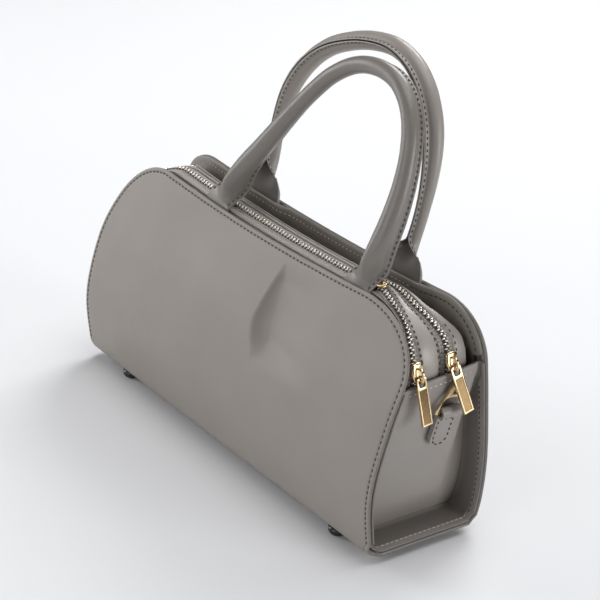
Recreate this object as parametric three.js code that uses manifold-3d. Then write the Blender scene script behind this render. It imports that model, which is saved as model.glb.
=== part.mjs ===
// A structured leather handbag: a wrapped body, two zips over its top, two rolled handles and four stud feet.
// Sizes are millimetres. X runs along the bag, Y from its front to its back, Z up from where it stands.
import * as THREE from "three";
import Module from "manifold-3d";

const wasm = await Module();
wasm.setup();
const { clamp, lerp, smoothstep, degToRad } = THREE.MathUtils;

// Body sizes
const FOOT_HEIGHT = 5;
const HALF_LENGTH = 145;
const BASE_DEPTH = 83.7;
const LOWER_BEND_RADIUS = 9;
const CORNER_NOTCH = 4;
const CORNER_HEIGHT = 12;
const TOP_SAG = 3.5;
const SAG_FROM = 100;
const SHOULDER_POWER = 2.2;
const SEAM_GAP = 0.36;

// Sheet thicknesses
const WRAP_LEATHER = 2.3;
const GUSSET_LEATHER = 1.5;
const FACING_LEATHER = 1.7;
const STRIP_LEATHER = 1.5;
const ZIP_TAPE = 1.2;
const STRAP_SLOT = 3.1;
const SLOT_CLOSES = { from: 15, to: 28 };
const LEAN_ALLOWANCE = 1.06;

// The two big panels: height, bow, straight half of the top edge and height where each shoulder starts.
const PANELS = {
  front: {
    facing: -1,
    height: 145.9,
    bow: 3,
    left: { top: 97, start: 75 },
    right: { top: 94.4, start: 109.5 },
    lean: [
      { share: 0, inset: 0 },
      { share: 0.3, inset: -6.7 },
      { share: 0.6, inset: 0.3 },
      { share: 0.8, inset: 8.8 },
      { share: 1, inset: 17.2 },
    ],
  },
  back: {
    facing: 1,
    height: 144,
    bow: 2,
    left: { top: 108, start: 100 },
    right: { top: 114, start: 112 },
    lean: [
      { share: 0, inset: 2.6 },
      { share: 0.12, inset: 0.2 },
      { share: 0.3, inset: 1 },
      { share: 0.6, inset: 8.4 },
      { share: 0.8, inset: 14.4 },
      { share: 1, inset: 20.4 },
    ],
  },
};

// The fold pressed into the front panel.
const FOLD = { top: { x: 27, z: 134 }, foot: { x: 23, z: 84 }, depth: 4.5, reach: 9 };

// The sunk end panels: how far they lie inside the body's edge at each height, at their front and back.
const GUSSET_SINK = [
  { height: 5, front: 16, back: 16 },
  { height: 40, front: 12.5, back: 15 },
  { height: 75, front: 7, back: 13.5 },
  { height: 95, front: 3.6, back: 9 },
  { height: 107, front: 2.8, back: 3.6 },
  { height: 115, front: 2.6, back: 2.6 },
];
const GUSSET_TURN = { from: 2, to: 28 };
const HEM = { front: 107, back: 113.3 };
const GUSSET_FILLET = 4;
const GUSSET_EDGE_INSET = 0.8;

// The facing behind the slip pocket.
const FACING = { foot: 104, hemInset: 8.5, edgeInset: 1.2, widensFrom: 115, widensTo: 119 };

// The zipped top: its edges across Y at places along its arch, and how deep the back zip lies in its groove.
const STRIP_EDGES = [
  { along: 0.0, border: -27.5, zip: -15.5, band: -3.5, backZip: 8.5, end: 18, groove: 0 },
  { along: 0.1, border: -27.5, zip: -16, band: -4, backZip: 8, end: 16.5, groove: 0 },
  { along: 0.21, border: -18.6, zip: -4, band: -2.2, backZip: -0.4, end: 1.8, groove: 2 },
  { along: 0.66, border: -18.6, zip: -4.8, band: -3, backZip: -1, end: 1.2, groove: 2 },
  { along: 0.78, border: -16.8, zip: -9.4, band: -5, backZip: 0.2, end: 2.6, groove: 0.8 },
  { along: 0.83, border: -21.5, zip: -14.2, band: -8, backZip: 0.4, end: 3.6, groove: 0.4 },
  { along: 0.87, border: -25, zip: -15.8, band: -6, backZip: 3.8, end: 9, groove: 0.2 },
  { along: 0.92, border: -28.4, zip: -16.8, band: -3.3, backZip: 8.7, end: 16.5, groove: 0 },
  { along: 1.0, border: -28, zip: -15.5, band: -3, backZip: 9, end: 18, groove: 0 },
];
const STRIP_STATIONS = 34;
const STRIP_END_HEIGHT = 105;
const STRIP_INSET = { top: 1.5, end: 7 };
const CHAIN = { width: 5, height: 1.6 };
const BAND_CROWN = 0.8;
const POCKET_DEPTH = 34;

// Rolled handles: centrelines in a leaning plane, as X and the rise along that plane.
const HANDLES = {
  front: {
    panel: "front",
    leanDeg: 17,
    finSide: 1,
    finTurnDeg: { left: -12, right: 28 },
    strapHalf: 10.4,
    flare: { from: 6, to: 30 },
    girth: { low: 1.28, from: 15, high: 0.9, to: 78 },
    foot: { y: -20.7, z: 143.5 },
    left: -49,
    right: 83.5,
    path: [
      { x: -41.2, rise: 20.1 },
      { x: -28.4, rise: 41.9 },
      { x: -16, rise: 64.4 },
      { x: -2.7, rise: 86 },
      { x: 9.4, rise: 100.8 },
      { x: 25.1, rise: 111.2 },
      { x: 42.6, rise: 114.8 },
      { x: 58.2, rise: 112.4 },
      { x: 69.6, rise: 105.5 },
      { x: 77.8, rise: 96 },
      { x: 84.6, rise: 81.3 },
      { x: 88.7, rise: 62.4 },
      { x: 89.6, rise: 40.5 },
      { x: 87.6, rise: 20.6 },
    ],
  },
  back: {
    panel: "back",
    leanDeg: 7,
    finSide: -1,
    finTurnDeg: { left: 0, right: 0 },
    strapHalf: 12.6,
    flare: { from: 3, to: 19 },
    girth: { low: 0.68, from: 30, high: 1, to: 88 },
    foot: { y: 18, z: 141.5 },
    left: -51.2,
    right: 81,
    path: [
      { x: -52, rise: 24 },
      { x: -52.6, rise: 46 },
      { x: -48.5, rise: 68 },
      { x: -38.3, rise: 87.6 },
      { x: -23, rise: 102.4 },
      { x: -5.9, rise: 111.4 },
      { x: 13.5, rise: 117.6 },
      { x: 33.5, rise: 119.4 },
      { x: 50.8, rise: 114.4 },
      { x: 64, rise: 104.5 },
      { x: 74, rise: 90 },
      { x: 79.6, rise: 74 },
      { x: 82, rise: 55 },
      { x: 81.8, rise: 36 },
      { x: 80.2, rise: 18 },
    ],
  },
};
const HANDLE = {
  radius: 5.6,
  finReach: 8.4,
  finHalf: 1.2,
  strapThick: 2,
  tuck: 10,
  stations: 34,
};

// Metal fittings
const SLIDER = { bodyHalf: 4.2, noseHalf: 2.8, backLength: 5, noseLength: 6.6, floor: 2.2, roof: 4.9 };
const BAIL = { half: 0.9, middle: 2.1, opening: 2.8, roof: 1.3 };
const BAIL_HALVES = { outerFoot: 4.4, outerTop: 3.6, innerFoot: 3, innerTop: 2.8 };
const PULL = { width: 7, thick: 1.5, bar: 0.75, eyeEnd: 5, eyeHalf: 2.3, length: 27.5, sunk: 0.35, rim: 0.9 };
const PULL_EYE = { ahead: 3.7, up: 1.4 };
const ENDS = {
  front: { zip: "front", height: 116.6, leanDeg: 14, tiltDeg: 8 },
  back: { zip: "back", height: 117.5, leanDeg: 20, tiltDeg: 15 },
};
const MID_SLIDER_ALONG = 0.776;
const RING = { y: 3.4, z: 89, tiltDeg: 9, footHalf: 11.2, apex: 20.4, leg: 2.6, thick: 1.8, barHalf: 1.1 };
const RING_ARCH = { half: 8.5, top: 9.2 };
const TAB = { tiltDeg: 7, half: 6.3, length: 24, leather: 1.5, eye: 1.9 };
const FOOT = { x: 107.5, y: 34, radius: 5.5, flat: 3.2 };

const AXES = [new THREE.Vector3(1, 0, 0), new THREE.Vector3(0, 1, 0), new THREE.Vector3(0, 0, 1)];

const COLOURS = {
  leather: { color: 0x8a837c, roughness: 0.5, metalness: 0 },
  tape: { color: 0x9a9088, roughness: 0.85, metalness: 0 },
  gold: { color: 0xd8b465, roughness: 0.22, metalness: 1 },
  darkMetal: { color: 0x2c2926, roughness: 0.35, metalness: 1 },
};

// A smooth curve through two columns of a table.
function curveOf(table, from, to) {
  const places = table.map((row) => row[from]);
  const curve = new THREE.CubicInterpolant(places, table.map((row) => row[to]), 1, new Float64Array(1));
  return (at) => curve.evaluate(clamp(at, places[0], places.at(-1)))[0];
}

// A column of a table, eased from row to row so that it never overshoots.
function easedColumn(table, from, to, at) {
  const next = clamp(table.findIndex((row) => row[from] >= at), 1, table.length - 1);
  const [before, after] = [table[next - 1], table[next]];
  return lerp(before[to], after[to], smoothstep(at, before[from], after[from]));
}

const leanCurves = {
  front: curveOf(PANELS.front.lean, "share", "inset"),
  back: curveOf(PANELS.back.lean, "share", "inset"),
};
const sinkCurves = {
  front: curveOf(GUSSET_SINK, "height", "front"),
  back: curveOf(GUSSET_SINK, "height", "back"),
};

// An open sheet of triangles that is thickened, away from the side it faces, into one closed solid.
class Sheet {
  constructor() {
    this.points = [];
    this.faces = [];
    this.known = new Map();
  }

  index(point) {
    const key = point.toArray().map((v) => Math.round(v * 1000)).join();
    if (!this.known.has(key)) {
      this.known.set(key, this.points.length);
      this.points.push(point.clone());
    }
    return this.known.get(key);
  }

  face(a, b, c) {
    if (a !== b && b !== c && c !== a) this.faces.push([a, b, c]);
  }

  addGrid(rows, flip = false) {
    const ids = rows.map((row) => row.map((point) => this.index(point)));
    for (let i = 0; i + 1 < ids.length; i++) {
      for (let j = 0; j + 1 < ids[i].length; j++) {
        const [a, b, c, d] = [ids[i][j], ids[i][j + 1], ids[i + 1][j + 1], ids[i + 1][j]];
        if (flip) {
          this.face(a, c, b);
          this.face(a, d, c);
        } else {
          this.face(a, b, c);
          this.face(a, c, d);
        }
      }
    }
    return this;
  }

  normals() {
    const sums = this.points.map(() => new THREE.Vector3());
    for (const [a, b, c] of this.faces) {
      const ab = this.points[b].clone().sub(this.points[a]);
      const ac = this.points[c].clone().sub(this.points[a]);
      const normal = ab.cross(ac);
      for (const id of [a, b, c]) sums[id].add(normal);
    }
    return sums.map((sum) => sum.normalize());
  }

  thickened(thickness) {
    const count = this.points.length;
    const normals = this.normals();
    const backs = this.points.map((point, id) => point.clone().addScaledVector(normals[id], -thickness));
    const triangles = [...this.faces];
    const edges = new Set();
    for (const [a, b, c] of this.faces) {
      triangles.push([a + count, c + count, b + count]);
      for (const [from, to] of [[a, b], [b, c], [c, a]]) edges.add(from + "," + to);
    }
    for (const edge of edges) {
      const [from, to] = edge.split(",").map(Number);
      if (edges.has(to + "," + from)) continue;
      triangles.push([to, from, from + count], [to, from + count, to + count]);
    }
    return geometryOf([...this.points, ...backs], triangles);
  }
}

function geometryOf(points, triangles) {
  const geometry = new THREE.BufferGeometry().setFromPoints(points);
  geometry.setIndex(triangles.flat());
  geometry.computeVertexNormals();
  return geometry;
}

// Closed rings of points joined one to the next, with both ends closed by fans.
function loftOf(rings) {
  const size = rings[0].length;
  const points = rings.flat();
  const triangles = [];
  for (let i = 0; i + 1 < rings.length; i++) {
    for (let j = 0; j < size; j++) {
      const next = (j + 1) % size;
      const [a, b] = [i * size + j, i * size + next];
      triangles.push([a, b, b + size], [a, b + size, a + size]);
    }
  }
  const last = (rings.length - 1) * size;
  for (const [start, reverse] of [[0, true], [last, false]]) {
    const middle = new THREE.Vector3();
    for (let j = 0; j < size; j++) middle.addScaledVector(points[start + j], 1 / size);
    const centre = points.push(middle) - 1;
    for (let j = 0; j < size; j++) {
      const next = (j + 1) % size;
      triangles.push(reverse ? [centre, start + next, start + j] : [centre, start + j, start + next]);
    }
  }
  return geometryOf(points, triangles);
}

// Solids are joined and cut as meshes.
function solidOf(geometry) {
  const sheet = new Sheet();
  const flat = geometry.index ? geometry.toNonIndexed() : geometry;
  const position = flat.getAttribute("position");
  for (let i = 0; i < position.count; i += 3) {
    const ids = [0, 1, 2].map((k) => sheet.index(new THREE.Vector3().fromBufferAttribute(position, i + k)));
    sheet.face(...ids);
  }
  return new wasm.Manifold(
    new wasm.Mesh({
      numProp: 3,
      vertProperties: new Float32Array(sheet.points.flatMap((point) => point.toArray())),
      triVerts: new Uint32Array(sheet.faces.flat()),
    }),
  );
}

function fromSolid(solid) {
  const mesh = solid.getMesh();
  const geometry = new THREE.BufferGeometry();
  geometry.setAttribute("position", new THREE.BufferAttribute(mesh.vertProperties, 3));
  geometry.setIndex(new THREE.BufferAttribute(mesh.triVerts, 1));
  geometry.computeVertexNormals();
  return geometry;
}

function polygon(corners) {
  return new THREE.Shape(corners.map(([x, y]) => new THREE.Vector2(x, y)));
}

// A flat shape drawn in the plane of two directions and extruded along a third, centred on its thickness.
function plateOf(shape, thick, across, along, out, curveSegments = 8) {
  const geometry = new THREE.ExtrudeGeometry(shape, { depth: thick, bevelEnabled: false, curveSegments });
  geometry.translate(0, 0, -thick / 2);
  return geometry.applyMatrix4(new THREE.Matrix4().makeBasis(across, along, out));
}

// Body outline
function halfWidth(panelName, side, height) {
  const panel = PANELS[panelName];
  const { top, start } = panel[side];
  const rise = clamp((height - start) / (panel.height - start), 0, 1);
  const fullness = Math.pow(1 - Math.pow(rise, SHOULDER_POWER), 1 / SHOULDER_POWER);
  return top + (HALF_LENGTH - top) * fullness;
}

function cornerNotch(height) {
  const near = clamp((FOOT_HEIGHT + CORNER_HEIGHT - height) / CORNER_HEIGHT, 0, 1);
  return CORNER_NOTCH * near * near;
}

function heightShare(panelName, height) {
  return (height - FOOT_HEIGHT) / (PANELS[panelName].height - FOOT_HEIGHT);
}

// Y of a panel's outer face along its seamed edge.
function edgeY(panelName, height) {
  const inset = leanCurves[panelName](heightShare(panelName, height));
  return PANELS[panelName].facing * (BASE_DEPTH / 2 - inset);
}

function foldDepth(x, height) {
  const run = new THREE.Vector2(FOLD.foot.x - FOLD.top.x, FOLD.foot.z - FOLD.top.z);
  const from = new THREE.Vector2(x - FOLD.top.x, height - FOLD.top.z);
  const share = from.dot(run) / run.lengthSq();
  const away = Math.abs(from.cross(run)) / run.length();
  const fade = smoothstep(share, -0.25, 0.3) * (1 - smoothstep(share, 0.7, 1.25));
  return FOLD.depth * fade * Math.exp(-((away / FOLD.reach) ** 2));
}

// Y of a panel's outer face anywhere on it, with its bow and the front panel's fold.
function panelY(panelName, x, height) {
  const panel = PANELS[panelName];
  const half = halfWidth(panelName, x < 0 ? "left" : "right", height);
  const across = clamp(Math.abs(x) / half, 0, 1);
  const arc = Math.sin(Math.PI * clamp(heightShare(panelName, height), 0, 1));
  const bow = panel.bow * (1 - across * across) * arc;
  const fold = panelName === "front" ? foldDepth(x, height) : 0;
  return edgeY(panelName, height) + panel.facing * (bow - fold);
}

// How far the top edge and what hangs from it sag between the handles.
function sagAt(panelName, x, height) {
  const panel = PANELS[panelName];
  const span = Math.max(panel.left.top, panel.right.top);
  const middle = Math.max(0, 1 - (x / span) ** 2);
  return TOP_SAG * middle * smoothstep(height, SAG_FROM, panel.height);
}

// Outer wrap
const WRAP_ROWS = { front: 14, bend: 3, base: 3, back: 10 };
const WRAP_COLUMNS = 18;
const FOLD_COLUMNS = { from: 0.04, to: 0.32, count: 9 };

function wrapColumns() {
  const shares = [];
  for (let k = 0; k <= WRAP_COLUMNS; k++) shares.push(1 - (2 * k) / WRAP_COLUMNS);
  const away = shares.filter((share) => share < FOLD_COLUMNS.from || share > FOLD_COLUMNS.to);
  for (let k = 0; k < FOLD_COLUMNS.count; k++) {
    away.push(lerp(FOLD_COLUMNS.from, FOLD_COLUMNS.to, k / (FOLD_COLUMNS.count - 1)));
  }
  return away.sort((a, b) => b - a);
}

function panelRow(panelName, height, columns) {
  const notch = cornerNotch(height);
  return columns.map((share) => {
    const side = share < 0 ? "left" : "right";
    const x = share * (halfWidth(panelName, side, height) - notch);
    return new THREE.Vector3(x, panelY(panelName, x, height), height - sagAt(panelName, x, height));
  });
}

function panelRows(panelName, count, columns) {
  const foot = FOOT_HEIGHT + LOWER_BEND_RADIUS;
  const rows = [];
  for (let k = 0; k <= count; k++) {
    const down = Math.pow(k / count, 1.5);
    rows.push(panelRow(panelName, lerp(PANELS[panelName].height, foot, down), columns));
  }
  return rows;
}

// A lower bend turns a panel's lowest row under the base.
function bendRows(panelName, columns) {
  const foot = FOOT_HEIGHT + LOWER_BEND_RADIUS;
  const facing = PANELS[panelName].facing;
  const rows = [];
  for (let k = 1; k <= WRAP_ROWS.bend; k++) {
    const turn = (k / WRAP_ROWS.bend) * (Math.PI / 2);
    const height = foot - LOWER_BEND_RADIUS * Math.sin(turn);
    const notch = k < WRAP_ROWS.bend ? CORNER_NOTCH : CORNER_NOTCH / 2;
    rows.push(
      columns.map((share) => {
        const x = share * (HALF_LENGTH - notch);
        const y = panelY(panelName, x, foot) - facing * LOWER_BEND_RADIUS * (1 - Math.cos(turn));
        return new THREE.Vector3(x, y, height);
      }),
    );
  }
  return rows;
}

function outerWrap() {
  const columns = wrapColumns();
  const front = [...panelRows("front", WRAP_ROWS.front, columns), ...bendRows("front", columns)];
  const back = [...panelRows("back", WRAP_ROWS.back, columns), ...bendRows("back", columns)];
  const base = [];
  for (let k = 1; k < WRAP_ROWS.base; k++) {
    base.push(
      columns.map((share, j) => {
        const y = lerp(front.at(-1)[j].y, back.at(-1)[j].y, k / WRAP_ROWS.base);
        return new THREE.Vector3(share * HALF_LENGTH, y, FOOT_HEIGHT);
      }),
    );
  }
  const rows = [...front, ...base, ...back.reverse()];
  return new Sheet().addGrid(rows).thickened(WRAP_LEATHER);
}

// End gussets
const GUSSET_GRID = { upright: 7, across: 6 };
const GUSSET_LIE = (WRAP_LEATHER + SEAM_GAP + GUSSET_LEATHER) * LEAN_ALLOWANCE;
const GUSSET_CORNER = 6;
const GUSSET_FIELD_INSET = 12;

function hemHeight(y) {
  const share = (y - edgeY("front", HEM.front)) / (edgeY("back", HEM.back) - edgeY("front", HEM.front));
  return lerp(HEM.front, HEM.back, clamp(share, 0, 1));
}

function endHalfWidth(side, y, height) {
  const share = smoothstep(y, -BASE_DEPTH / 4, BASE_DEPTH / 4);
  return lerp(halfWidth("front", side, height), halfWidth("back", side, height), share);
}

function gussetFaceX(side, y, height) {
  const turn = smoothstep(y, GUSSET_TURN.from, GUSSET_TURN.to);
  const sink = lerp(sinkCurves.front(height), sinkCurves.back(height), turn);
  return endHalfWidth(side, y, height) - sink;
}

// The path along which a gusset's wall meets the wrap: down the front, under, and up the back.
function gussetPath(side) {
  const floor = FOOT_HEIGHT + GUSSET_LIE;
  const wall = (panelName, height) => edgeY(panelName, height) - PANELS[panelName].facing * GUSSET_LIE;
  const upright = (panelName, k) => {
    const hem = HEM[panelName];
    const height = lerp(hem, floor + GUSSET_CORNER, k / GUSSET_GRID.upright);
    const edge = halfWidth(panelName, side, height) - cornerNotch(height) - GUSSET_EDGE_INSET;
    const inward = new THREE.Vector2(-PANELS[panelName].facing, 0);
    return { y: wall(panelName, height), z: height, edge, inward };
  };
  const corner = (panelName) => {
    const turn = GUSSET_CORNER * (1 - Math.SQRT1_2);
    const facing = PANELS[panelName].facing;
    const y = wall(panelName, floor + GUSSET_CORNER) - facing * turn;
    const inward = new THREE.Vector2(-facing, 1).normalize();
    return { y, z: floor + turn, edge: HALF_LENGTH - CORNER_NOTCH - GUSSET_EDGE_INSET, inward };
  };
  const [front, back] = [wall("front", floor + GUSSET_CORNER), wall("back", floor + GUSSET_CORNER)];
  const path = [];
  for (let k = 0; k <= GUSSET_GRID.upright; k++) path.push({ ...upright("front", k), field: [k, 0] });
  path.push({ ...corner("front"), field: [GUSSET_GRID.upright, 0] });
  for (let k = 0; k <= GUSSET_GRID.across; k++) {
    const y = lerp(front + GUSSET_CORNER, back - GUSSET_CORNER, k / GUSSET_GRID.across);
    const nearCorner = k === 0 || k === GUSSET_GRID.across;
    const edge = HALF_LENGTH - GUSSET_EDGE_INSET - (nearCorner ? CORNER_NOTCH / 2 : 0);
    path.push({ y, z: floor, edge, inward: new THREE.Vector2(0, 1), field: [GUSSET_GRID.upright, k] });
  }
  path.push({ ...corner("back"), field: [GUSSET_GRID.upright, GUSSET_GRID.across] });
  for (let k = GUSSET_GRID.upright; k >= 0; k--) {
    path.push({ ...upright("back", k), field: [k, GUSSET_GRID.across] });
  }
  return path;
}

// The middle field of a gusset as a grid from hem to foot and from front to back.
function gussetField(side) {
  const floor = FOOT_HEIGHT + GUSSET_LIE + GUSSET_FIELD_INSET;
  const rows = [];
  for (let i = 0; i <= GUSSET_GRID.upright; i++) {
    const row = [];
    for (let j = 0; j <= GUSSET_GRID.across; j++) {
      const share = j / GUSSET_GRID.across;
      const rough = lerp(HEM.front, floor, i / GUSSET_GRID.upright);
      const front = edgeY("front", rough) + GUSSET_LIE + GUSSET_FIELD_INSET;
      const back = edgeY("back", rough) - GUSSET_LIE - GUSSET_FIELD_INSET;
      const y = lerp(front, back, share);
      const height = lerp(hemHeight(y), floor, i / GUSSET_GRID.upright);
      row.push(new THREE.Vector3(gussetFaceX(side, y, height), y, height));
    }
    rows.push(row);
  }
  return rows;
}

function gusset(side) {
  const hand = side === "left" ? -1 : 1;
  const field = gussetField(side);
  const columns = gussetPath(side).map(({ y, z, edge, inward, field: [i, j] }) => {
    const face = gussetFaceX(side, y, z);
    const fillet = Math.min(GUSSET_FILLET, (edge - face) * 0.6);
    const section = [
      { x: edge, in: 0 },
      { x: lerp(edge, face + fillet, 0.5), in: 0 },
      { x: face + fillet, in: 0 },
      { x: face + 0.3 * fillet, in: 0.3 * fillet },
      { x: face, in: fillet },
    ];
    const points = section.map((at) => new THREE.Vector3(at.x, y + inward.x * at.in, z + inward.y * at.in));
    return [...points, field[i][j]];
  });
  const rings = columns[0].map((unused, v) => columns.map((column) => column[v]));
  const mirror = (rows) => rows.map((row) => row.map((point) => point.clone().setX(hand * point.x)));
  const sheet = new Sheet();
  sheet.addGrid(mirror(rings), hand < 0);
  sheet.addGrid(mirror([...field].reverse()), hand < 0);
  return sheet.thickened(GUSSET_LEATHER);
}

// Back facing, drawn from its right edge to its left one with closer columns beside the handle's straps.
const FACING_ROWS = 6;
const FACING_COLUMNS = [
  109, 103, 97, 89, 81, 73, 65, 59, 53, 30, 6, -16, -23, -30, -36, -43, -51, -59, -66, -72, -79,
];

// The slot behind the facing opens only where a strap of the back handle runs down into it.
function strapSlot(x) {
  const { left, right } = HANDLES.back;
  const away = Math.min(Math.abs(x - left), Math.abs(x - right));
  return lerp(STRAP_SLOT, SEAM_GAP, smoothstep(away, SLOT_CLOSES.from, SLOT_CLOSES.to));
}

function facingY(x, height) {
  return panelY("back", x, height) - (WRAP_LEATHER + strapSlot(x) + FACING_LEATHER) * LEAN_ALLOWANCE;
}

function backFacing() {
  const rows = [];
  for (let i = 0; i <= FACING_ROWS; i++) {
    const height = lerp(PANELS.back.height, FACING.foot, Math.pow(i / FACING_ROWS, 1.4));
    const wide = smoothstep(height, FACING.widensFrom, FACING.widensTo);
    const inset = lerp(FACING.hemInset, FACING.edgeInset, wide);
    const right = halfWidth("back", "right", height) - inset;
    const left = inset - halfWidth("back", "left", height);
    const ends = [lerp(right, FACING_COLUMNS[0], 0.5), lerp(left, FACING_COLUMNS.at(-1), 0.5)];
    const row = [right, ends[0], ...FACING_COLUMNS, ends[1], left].map((x) => {
      return new THREE.Vector3(x, facingY(x, height), height - sagAt("back", x, height));
    });
    rows.push(row);
  }
  return new Sheet().addGrid(rows).thickened(FACING_LEATHER);
}

// The arch that the zipped top follows, inside the front panel's outline.
function archStations() {
  const outline = [];
  const steps = 120;
  for (const side of ["left", "right"]) {
    const hand = side === "left" ? -1 : 1;
    const half = [];
    for (let k = 0; k <= steps; k++) {
      const rise = Math.sin((k / steps) * (Math.PI / 2));
      const height = lerp(STRIP_END_HEIGHT, PANELS.front.height, rise);
      half.push(new THREE.Vector2(hand * halfWidth("front", side, height), height));
    }
    outline.push(...(side === "left" ? half : half.reverse()));
  }
  const line = new THREE.Path(outline);
  const stations = [];
  for (let k = 0; k <= STRIP_STATIONS; k++) {
    const along = k / STRIP_STATIONS;
    const at = line.getPointAt(along);
    const run = line.getTangentAt(along);
    const out = new THREE.Vector2(-run.y, run.x);
    const inset = lerp(STRIP_INSET.top, STRIP_INSET.end, Math.abs(out.x));
    const x = at.x - out.x * inset;
    const height = at.y - out.y * inset;
    const z = height - sagAt("front", at.x, at.y);
    const normal = new THREE.Vector3(out.x, 0, out.y);
    stations.push({ along, x, height, z, normal, run: new THREE.Vector3(run.x, 0, run.y) });
  }
  return stations;
}

// Edges of the strips across Y at one station, from the front border to the slip pocket.
function stripEdges({ along, x, height }) {
  const column = (name) => easedColumn(STRIP_EDGES, "along", name, along);
  const high = smoothstep(height, 128, 138);
  const lie = (WRAP_LEATHER + lerp(SEAM_GAP, STRAP_SLOT, high)) * LEAN_ALLOWANCE;
  const front = panelY("front", x, height) + lie;
  const border = Math.max(column("border"), front + 1.2);
  const end = Math.min(column("end"), facingY(x, height) - SEAM_GAP * LEAN_ALLOWANCE);
  return { front, border, zip: column("zip"), band: column("band"), backZip: column("backZip"), end };
}

const stations = archStations().map((station) => ({ ...station, edges: stripEdges(station) }));

function stripPoint(station, y, lift) {
  return new THREE.Vector3(station.x, y, station.z).addScaledVector(station.normal, lift);
}

// A strip between two named edges, drawn across by a function of its width.
function strip(from, to, thickness, across) {
  const rows = stations.map((station) => {
    const start = station.edges[from] + SEAM_GAP / 2;
    const width = station.edges[to] - SEAM_GAP / 2 - start;
    return across(width, station).map(([share, lift]) => stripPoint(station, start + share * width, lift));
  });
  return new Sheet().addGrid(rows, true).thickened(thickness);
}

const flatAcross = () => [[0, 0], [1, 0]];
const crownAcross = () => [[0, 0], [0.25, BAND_CROWN], [0.75, BAND_CROWN], [1, 0]];

// A zip's tape with its closed chain standing up along the middle, sunk where it lies in the groove.
function chainAcross(sink) {
  return (width, station) => {
    const low = sink ? -easedColumn(STRIP_EDGES, "along", "groove", station.along) : 0;
    const chain = Math.min(CHAIN.width, 0.8 * width) / width / 2;
    const top = low + CHAIN.height;
    const [left, right] = [0.5 - chain, 0.5 + chain];
    const [crownLeft, crownRight] = [0.5 - 0.8 * chain, 0.5 + 0.8 * chain];
    return [[0, low], [left, low], [crownLeft, top], [crownRight, top], [right, low], [1, low]];
  };
}

// The back border turns down into the front wall and floor of the slip pocket.
function backBorder() {
  const rows = stations.map((station) => {
    const { backZip, end } = station.edges;
    const pocket = smoothstep(station.z, 124, 141);
    const depth = lerp(2, POCKET_DEPTH, pocket);
    const wall = (down) => stripPoint(station, end, -down);
    const foot = wall(depth);
    const facing = facingY(foot.x, foot.z) - 2.6 * SEAM_GAP;
    const back = foot.clone().setY(lerp(end + 1, facing, pocket));
    return [stripPoint(station, backZip + SEAM_GAP / 2, 0), wall(0), wall(0.5 * depth), foot, back];
  });
  return new Sheet().addGrid(rows, true).thickened(STRIP_LEATHER);
}

// Handles
function handleSection(strapHalf) {
  const { radius, finReach, finHalf, strapThick } = HANDLE;
  const root = Math.asin((finHalf + 0.3) / radius);
  const steps = 9;
  const section = [{ across: -finHalf, out: finReach }, { across: finHalf, out: finReach }];
  for (let k = 0; k <= steps; k++) {
    const turn = lerp(root, 2 * Math.PI - root, k / steps);
    section.push({ across: radius * Math.sin(turn), out: radius * Math.cos(turn) });
  }
  return section.map(({ across, out }) => ({
    round: new THREE.Vector2(across, out),
    strap: {
      across: clamp((across / radius) * 1.25, -1, 1) * strapHalf,
      out: clamp((out / radius) * 1.6, -1, 1) * (strapThick / 2),
    },
  }));
}

function handleCurve(handle) {
  const lean = degToRad(handle.leanDeg);
  const panel = PANELS[handle.panel];
  const lie = (WRAP_LEATHER + STRAP_SLOT / 2) * LEAN_ALLOWANCE;
  const tucked = (x, down) => {
    const height = panel.height - down;
    const y = panelY(handle.panel, x, height) - panel.facing * lie;
    return new THREE.Vector3(x, y, height - sagAt(handle.panel, x, height));
  };
  const points = [tucked(handle.left, HANDLE.tuck), tucked(handle.left, 0)];
  for (const { x, rise } of handle.path) {
    const { y, z } = handle.foot;
    points.push(new THREE.Vector3(x, y + rise * Math.sin(lean), z + rise * Math.cos(lean)));
  }
  points.push(tucked(handle.right, 0), tucked(handle.right, HANDLE.tuck));
  return new THREE.CatmullRomCurve3(points, false, "centripetal");
}

function rolledHandle(name) {
  const handle = HANDLES[name];
  const curve = handleCurve(handle);
  const lean = degToRad(handle.leanDeg);
  const planeNormal = new THREE.Vector3(0, Math.cos(lean), -Math.sin(lean));
  const section = handleSection(handle.strapHalf);
  const { low, from, high, to } = handle.girth;
  const top = PANELS[handle.panel].height;
  const rings = [];
  for (let k = 0; k <= HANDLE.stations; k++) {
    const at = curve.getPointAt(k / HANDLE.stations);
    const run = curve.getTangentAt(k / HANDLE.stations);
    const out = planeNormal.clone().addScaledVector(run, -planeNormal.dot(run)).normalize();
    const across = new THREE.Vector3().crossVectors(run, out);
    const roundness = smoothstep(at.z - top, handle.flare.from, handle.flare.to);
    const girth = lerp(low, high, smoothstep(at.z - top, from, to));
    const turnShare = smoothstep(at.x, handle.left, handle.right);
    const turn = degToRad(lerp(handle.finTurnDeg.left, handle.finTurnDeg.right, turnShare));
    rings.push(
      section.map(({ round, strap }) => {
        const turned = round.clone().rotateAround(new THREE.Vector2(), -turn);
        const reach = lerp(strap.across, girth * turned.x, roundness);
        const lift = handle.finSide * lerp(strap.out, girth * turned.y, roundness);
        return at.clone().addScaledVector(across, handle.finSide * reach).addScaledVector(out, lift);
      }),
    );
  }
  return loftOf(rings);
}

// Zip sliders and their pulls
function stationAt(test) {
  const after = stations.findIndex((station, k) => k > 0 && test(station, stations[k - 1]));
  return { before: stations[after - 1], after: stations[after] };
}

function zipFrame(zip, { before, after }, share) {
  const [from, to] = zip === "front" ? ["border", "zip"] : ["band", "backZip"];
  const middle = (station) => stripPoint(station, (station.edges[from] + station.edges[to]) / 2, 0);
  const at = middle(before).lerp(middle(after), share);
  const out = before.normal.clone().lerp(after.normal, share).normalize();
  const run = before.run.clone().lerp(after.run, share).normalize();
  return { at, out, run, across: new THREE.Vector3().crossVectors(run, out) };
}

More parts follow.
